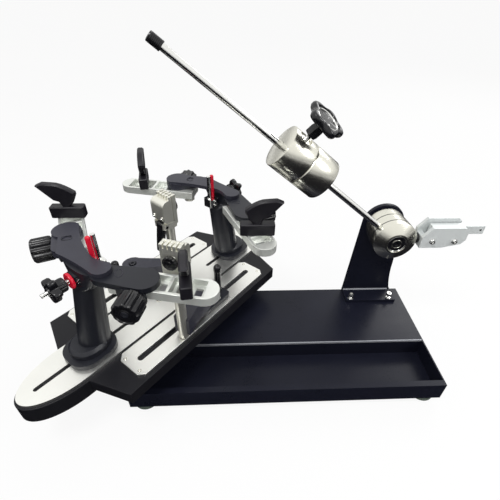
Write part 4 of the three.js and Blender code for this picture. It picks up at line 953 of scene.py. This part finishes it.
# %% Drum
DRUM = [
    (0, -DRUM_HUB), (8, -DRUM_HUB), (8, -4), (13.6, -4), (14, -3.6), (14, 0), (BACK_RADIUS - 0.7, 0),
    (BACK_RADIUS, 0.7), *groove(GROOVES[0]), *groove(GROOVES[1]), (skin(47.6), 47.6),
    (RIDGE_RADIUS - 0.2, 48.3), (RIDGE_RADIUS - 0.9, 48.9), (18.2, 56.4), (17.0, 57), (14.8, 57),
    (14.5, 56.7), (14.5, 54), (0, 54),
]
DRUM_FACE_AT = DRUM_AT @ LIE_FRONT
drum_piece = make("tension_drum_turned", [lathe(DRUM, 128)], DRUM_FACE_AT, "drum", "nickel",
                  stands_for="tension_drum")
rod_hole = lathe([(0, 17.5), (4.9, 17.5), (4.9, 37), (0, 37)], 48)
carve(drum_piece, make("rod_tool", [rod_hole], ROD_AT, "drum", "nickel"))
SPACER_RADIUS = 8.0
SEAT = math.sqrt(RIDGE_RADIUS**2 - SPACER_RADIUS**2)
FLAT_X, FLAT_Y = 13, 10.75
corners = ((-FLAT_X, -FLAT_Y), (FLAT_X, -FLAT_Y), (FLAT_X, FLAT_Y), (-FLAT_X, FLAT_Y))
flat_cutter = np.array([[[x, y, z] for x, y in corners] for z in (SEAT, SEAT + 2)], float)
flat_at = PULL_AT @ LIE_X @ place(FLOOR, turn=90)
carve(drum_piece, make("flat_tool", [flat_cutter], flat_at, "drum", "nickel"))
print("flat for the gripper", round(SEAT, 2), "mm from the drum's axis")

# %% [markdown]
# The bearing in the drum's face is four turned pieces: two races, the seal between them and the
# screw in the middle. A dark ring lies in each groove, a hair proud of the skin: it is painted
# shade, because the groove alone is thinner than a pixel from where the camera stands and shows
# no shade of its own.

# %% Bearing, dark rings of painted shade in the grooves, and set screw
BEARING = {
    "outer_race": ("chrome", [
        (12.7, 53.9), (14.4, 53.9), (14.4, 56.3), (14.1, 56.6), (13.0, 56.6), (12.7, 56.2), (12.7, 53.9),
    ]),
    "seal": ("black_plastic", [
        (7.6, 53.9), (12.7, 53.9), (12.7, 55.7), (11.9, 55.4), (10.2, 55.8), (8.8, 55.4), (7.6, 55.6),
        (7.6, 53.9),
    ]),
    "inner_race": ("nickel", [
        (6.4, 53.9), (7.6, 53.9), (7.6, 56.2), (7.4, 56.4), (6.6, 56.4), (6.4, 56.1), (6.4, 53.9),
    ]),
    "axle_screw": ("black_plastic", [
        (0, 53.9), (6.3, 53.9), (6.3, 55.5), (5.9, 56), (3.4, 56), (3.1, 55.6, 1), (3.1, 54.3, 1),
        (0, 54.3),
    ]),
}
for part, (slot, profile) in BEARING.items():
    make(f"drum_bearing_{part}", [lathe(profile, 72, hexagon)], DRUM_FACE_AT, "drum", slot)
# Dark rings lying in the grooves: painted shade in place of the grooves' own shade.
SHADE_RING_PROUD, SHADE_RING_THICK = 0.06, 0.9
for number, at in enumerate(GROOVES):
    low_rim, high_rim = at - 0.3, at + 1.7
    outside = skin(at) + SHADE_RING_PROUD
    inside = outside - SHADE_RING_THICK
    band = [(inside, low_rim), (outside, low_rim), (outside, high_rim), (inside, high_rim)]
    ring = lathe([*band, band[0]], 128)
    make(f"drum_groove_shade_ring_{number}", [ring], DRUM_FACE_AT, "drum", "black_plastic")
SET_SCREW = [
    (0, -0.4), (3, -0.4), (3, 0.2), (2.6, 0.4), (1.5, 0.4), (1.4, 0.2, 1), (1.4, -0.2, 1), (0, -0.2),
]
SET_SCREW_ALONG = 25.0
set_screw_at = place(DRUM_AT, y=-SET_SCREW_ALONG, z=skin(SET_SCREW_ALONG) - 0.1)
make("drum_set_screw", [lathe(SET_SCREW, 36, hexagon)], set_screw_at, "drum", "nickel")

# %% [markdown]
# ## Rod, cap and sliding weight
# A polished rod carries a two-part steel weight. The halves meet in a fine groove, both ends are
# faced flat, and a round spot is milled where the locking knob's screw goes in. One lathe profile
# could hold both halves, but two pieces keep the groove as deep as it really is.

# %% Rod and cap
ROD = [(0, 17.8), (4.6, 17.8), (4.6, 426.6), (4.2, 427), (0, 427)]
make("rod_polished", [lathe(ROD, 48)], ROD_AT, "drum", "chrome", stands_for="drum_rod")
RIB = ((6.3, 0), (6.3, 1.3), (6.05, 1.5), (6.05, 1.8))
RIBS = [(radius, z + step) for z in np.arange(417.2, 431, 2.0) for radius, step in RIB]
CAP = [(4.9, 416), (6.0, 416), (6.3, 416.3), *RIBS, (6.3, 431.6), (5.9, 432.6), (5.0, 433), (0, 433)]
CAP += [(0, 427.3), (4.9, 427.3), (4.9, 416)]
make("rod_end_cap", [lathe(CAP, 48)], ROD_AT, "drum", "black_plastic", stands_for="rod_cap")
print("rod ends", round(ROD[-1][1]), "mm from the drum's axis")

# %% Weight
WEIGHT_ALONG, WEIGHT_TURN, KNOB_ALONG = 160.0, -15.0, 62.0
WEIGHT_AT = place(ROD_AT, z=WEIGHT_ALONG, turn=WEIGHT_TURN)
KNOB_AT = place(WEIGHT_AT, z=KNOB_ALONG) @ LIE_X
INNER = [
    (5.1, 0.2), (5.9, 0.2), (6.1, 0.4), (28.6, 0.2), (29.6, 0.5), (30, 1.3), (30, 37.7), (29.7, 38.6),
    (28.9, 39.3), (5.1, 39.35), (5.1, 0.2),
]
OUTER = [
    (5.1, 39.65), (28.9, 39.7), (29.7, 40.4), (30, 41.3), (30, 77.7), (29.6, 78.5), (28.6, 78.8),
    (6.1, 78.6), (5.9, 78.8), (5.1, 78.8), (5.1, 39.65),
]
SPOT_MILL = [(0, 27), (9.6, 27), (10, 27.4), (10, 33), (0, 33)]
THREAD_DRILL = [(0, 2), (3.7, 2), (3.7, 29), (0, 29)]
make("weight_inner_half", [lathe(INNER, 128)], WEIGHT_AT, "weight", "nickel", stands_for="weight_inner")
outer = make("weight_outer_half", [lathe(OUTER, 128)], WEIGHT_AT, "weight", "nickel",
             stands_for="weight_outer")
carve(outer, make("spot_tool", [lathe(SPOT_MILL, 64)], KNOB_AT, "weight", "nickel"))
carve(outer, make("thread_tool", [lathe(THREAD_DRILL, 32)], KNOB_AT, "weight", "nickel"))
STEEL = 7.85e-6  # kilograms in a cubic millimetre
bulk = math.pi * (30.0**2 - 5.1**2) * (OUTER[6][1] - INNER[0][1])
print("weight length", round(OUTER[6][1]), "mm, about", round(bulk * STEEL, 2), "kg")

# %% [markdown]
# ## Weight knob
# A moulded star knob: a stout six-sided hub, deep flutes between its five lobes and a dished face.
# A bright chrome ring round the dish stands in for the highlight along the dish's rim: a painted
# highlight. Subdivision on a rough cage would give soft lobes too, but the wave in the radius puts
# every lobe at its true size.

# %% Star knob
LOBES = ribbed(5, 0.21)
GRIP = [
    (0, 54.2), (9, 54.2, 0.0), (14, 54.8, 0.4), (21, 56.0, 0.85), (26.2, 57.6, 1), (28, 60.0, 1),
    (28, 63.2, 1), (27, 65.4, 1), (24.6, 66.8, 0.95), (21.6, 67, 0.85), (20.4, 66.5, 0.7),
    (19.6, 65.2, 0.6), (18.2, 64.2, 0.5), (0, 63.6),
]
STEM = [
    (0, 36), (7.4, 36, 1), (8.6, 36.4, 1), (9.0, 37.6, 1), (9.0, 47, 1), (8.2, 50, 0.7),
    (7.6, 52.4, 0.3), (9, 54.4), (12, 55.6), (0, 55.6),
]
# Chrome ring round the dish: a painted highlight along the dish's rim.
HIGHLIGHT_RING = [
    (15.2, 63.9), (15.6, 64.9), (16.6, 65.4), (17.6, 65.2), (18.2, 64.6), (18.0, 63.9), (15.2, 63.9),
]
star_knob = [lathe(GRIP, 180, LOBES), lathe(STEM, 72, hexagon)]
make("weight_knob_star", star_knob, KNOB_AT, "weight_knob", "black_plastic", stands_for="weight_knob")
knob_thread = threaded(3.4, 5.6, 37, PITCH)
make("weight_knob_screw", [knob_thread], KNOB_AT, "weight_knob", "chrome", smooth=60)
make("weight_knob_highlight_ring", [lathe(HIGHLIGHT_RING, 96)], KNOB_AT, "weight_knob", "chrome")
print("star knob", 2 * GRIP[5][0], "mm across")

# %% [markdown]
# ## Gripper hardware
# Two socket screws with bright washers hold the gripper's plates together, with a nut on each at the
# back, and a dark rubber spacer keeps it off the drum. All are turned, as the other screws are, and
# laid down on the gripper's sides.

# %% Gripper screws and spacer
GRIP_X = SEAT + 7.3
GRIP_SIDE, GRIP_SCREW_Z = 13.0, 1.3
NUT = [(0, -0.1), (3.4, -0.1, 1), (3.4, 2.2, 1), (3.0, 2.5), (0, 2.5)]
for number, x in enumerate((17.5, 52.5)):
    spot = place(PULL_AT, GRIP_X + x, -GRIP_SIDE, GRIP_SCREW_Z) @ LIE_FRONT
    washer = lathe(disc(4.4, -0.1, 0.8, 0.25), 40)
    make(f"gripper_washer_{number}", [washer], spot, "drum", "chrome")
    socket_screw(f"gripper_screw_{number}", place(spot, z=0.8), 3.3, 2.6, "drum", "chrome", sunk=0.1)
    back_spot = place(PULL_AT, GRIP_X + x, GRIP_SIDE, GRIP_SCREW_Z) @ LIE_FRONT @ HEAD_DOWN
    make(f"gripper_nut_{number}", [lathe(NUT, 36, hexagon)], back_spot, "drum", "chrome")
SPACER = [
    (0, SEAT + 0.3), (7.4, SEAT + 0.3), (SPACER_RADIUS, SEAT + 0.9), (SPACER_RADIUS, SEAT + 6.4),
    (7.4, SEAT + 7), (0, SEAT + 7),
]
spacer_at = PULL_AT @ LIE_X
make("gripper_spacer_turned", [lathe(SPACER, 48)], spacer_at, "drum", "black_plastic",
     stands_for="gripper_spacer")
# A thin black disc on the jaw's end stands for the bar's hole: painted shade, and no hole is cut.
BAR_HOLE_SHADE = [(0, 0), (1.7, 0), (1.7, 0.12), (0, 0.12)]
BAR_END = place(PULL_AT, GRIP_X + 93.0, -5.0, 16.5) @ LIE_FRONT
make("gripper_bar_hole_shade", [lathe(BAR_HOLE_SHADE, 24)], BAR_END, "gripper_jaw", "black_plastic")
print("gripper starts", round(GRIP_X, 2), "mm from the drum's axis")

# %% [markdown]
# ## Support screws
# Each support block has two small screws in its face, one above the other. A bump would look flat
# from the side, so they are turned like the rest, and they ride with the block.

# %% Support block screws
SUPPORT_SCREW_IN = 44.0
for side, (out, tower) in TOWERS.items():
    for number, z in enumerate((119.5, 126.5)):
        spot = place(tower, -out * SUPPORT_SCREW_IN, TOWER_FACE, z) @ LIE_FRONT
        socket_screw(f"{side}_support_screw_{number}", spot, 2.4, 1.6, f"{side}_support")
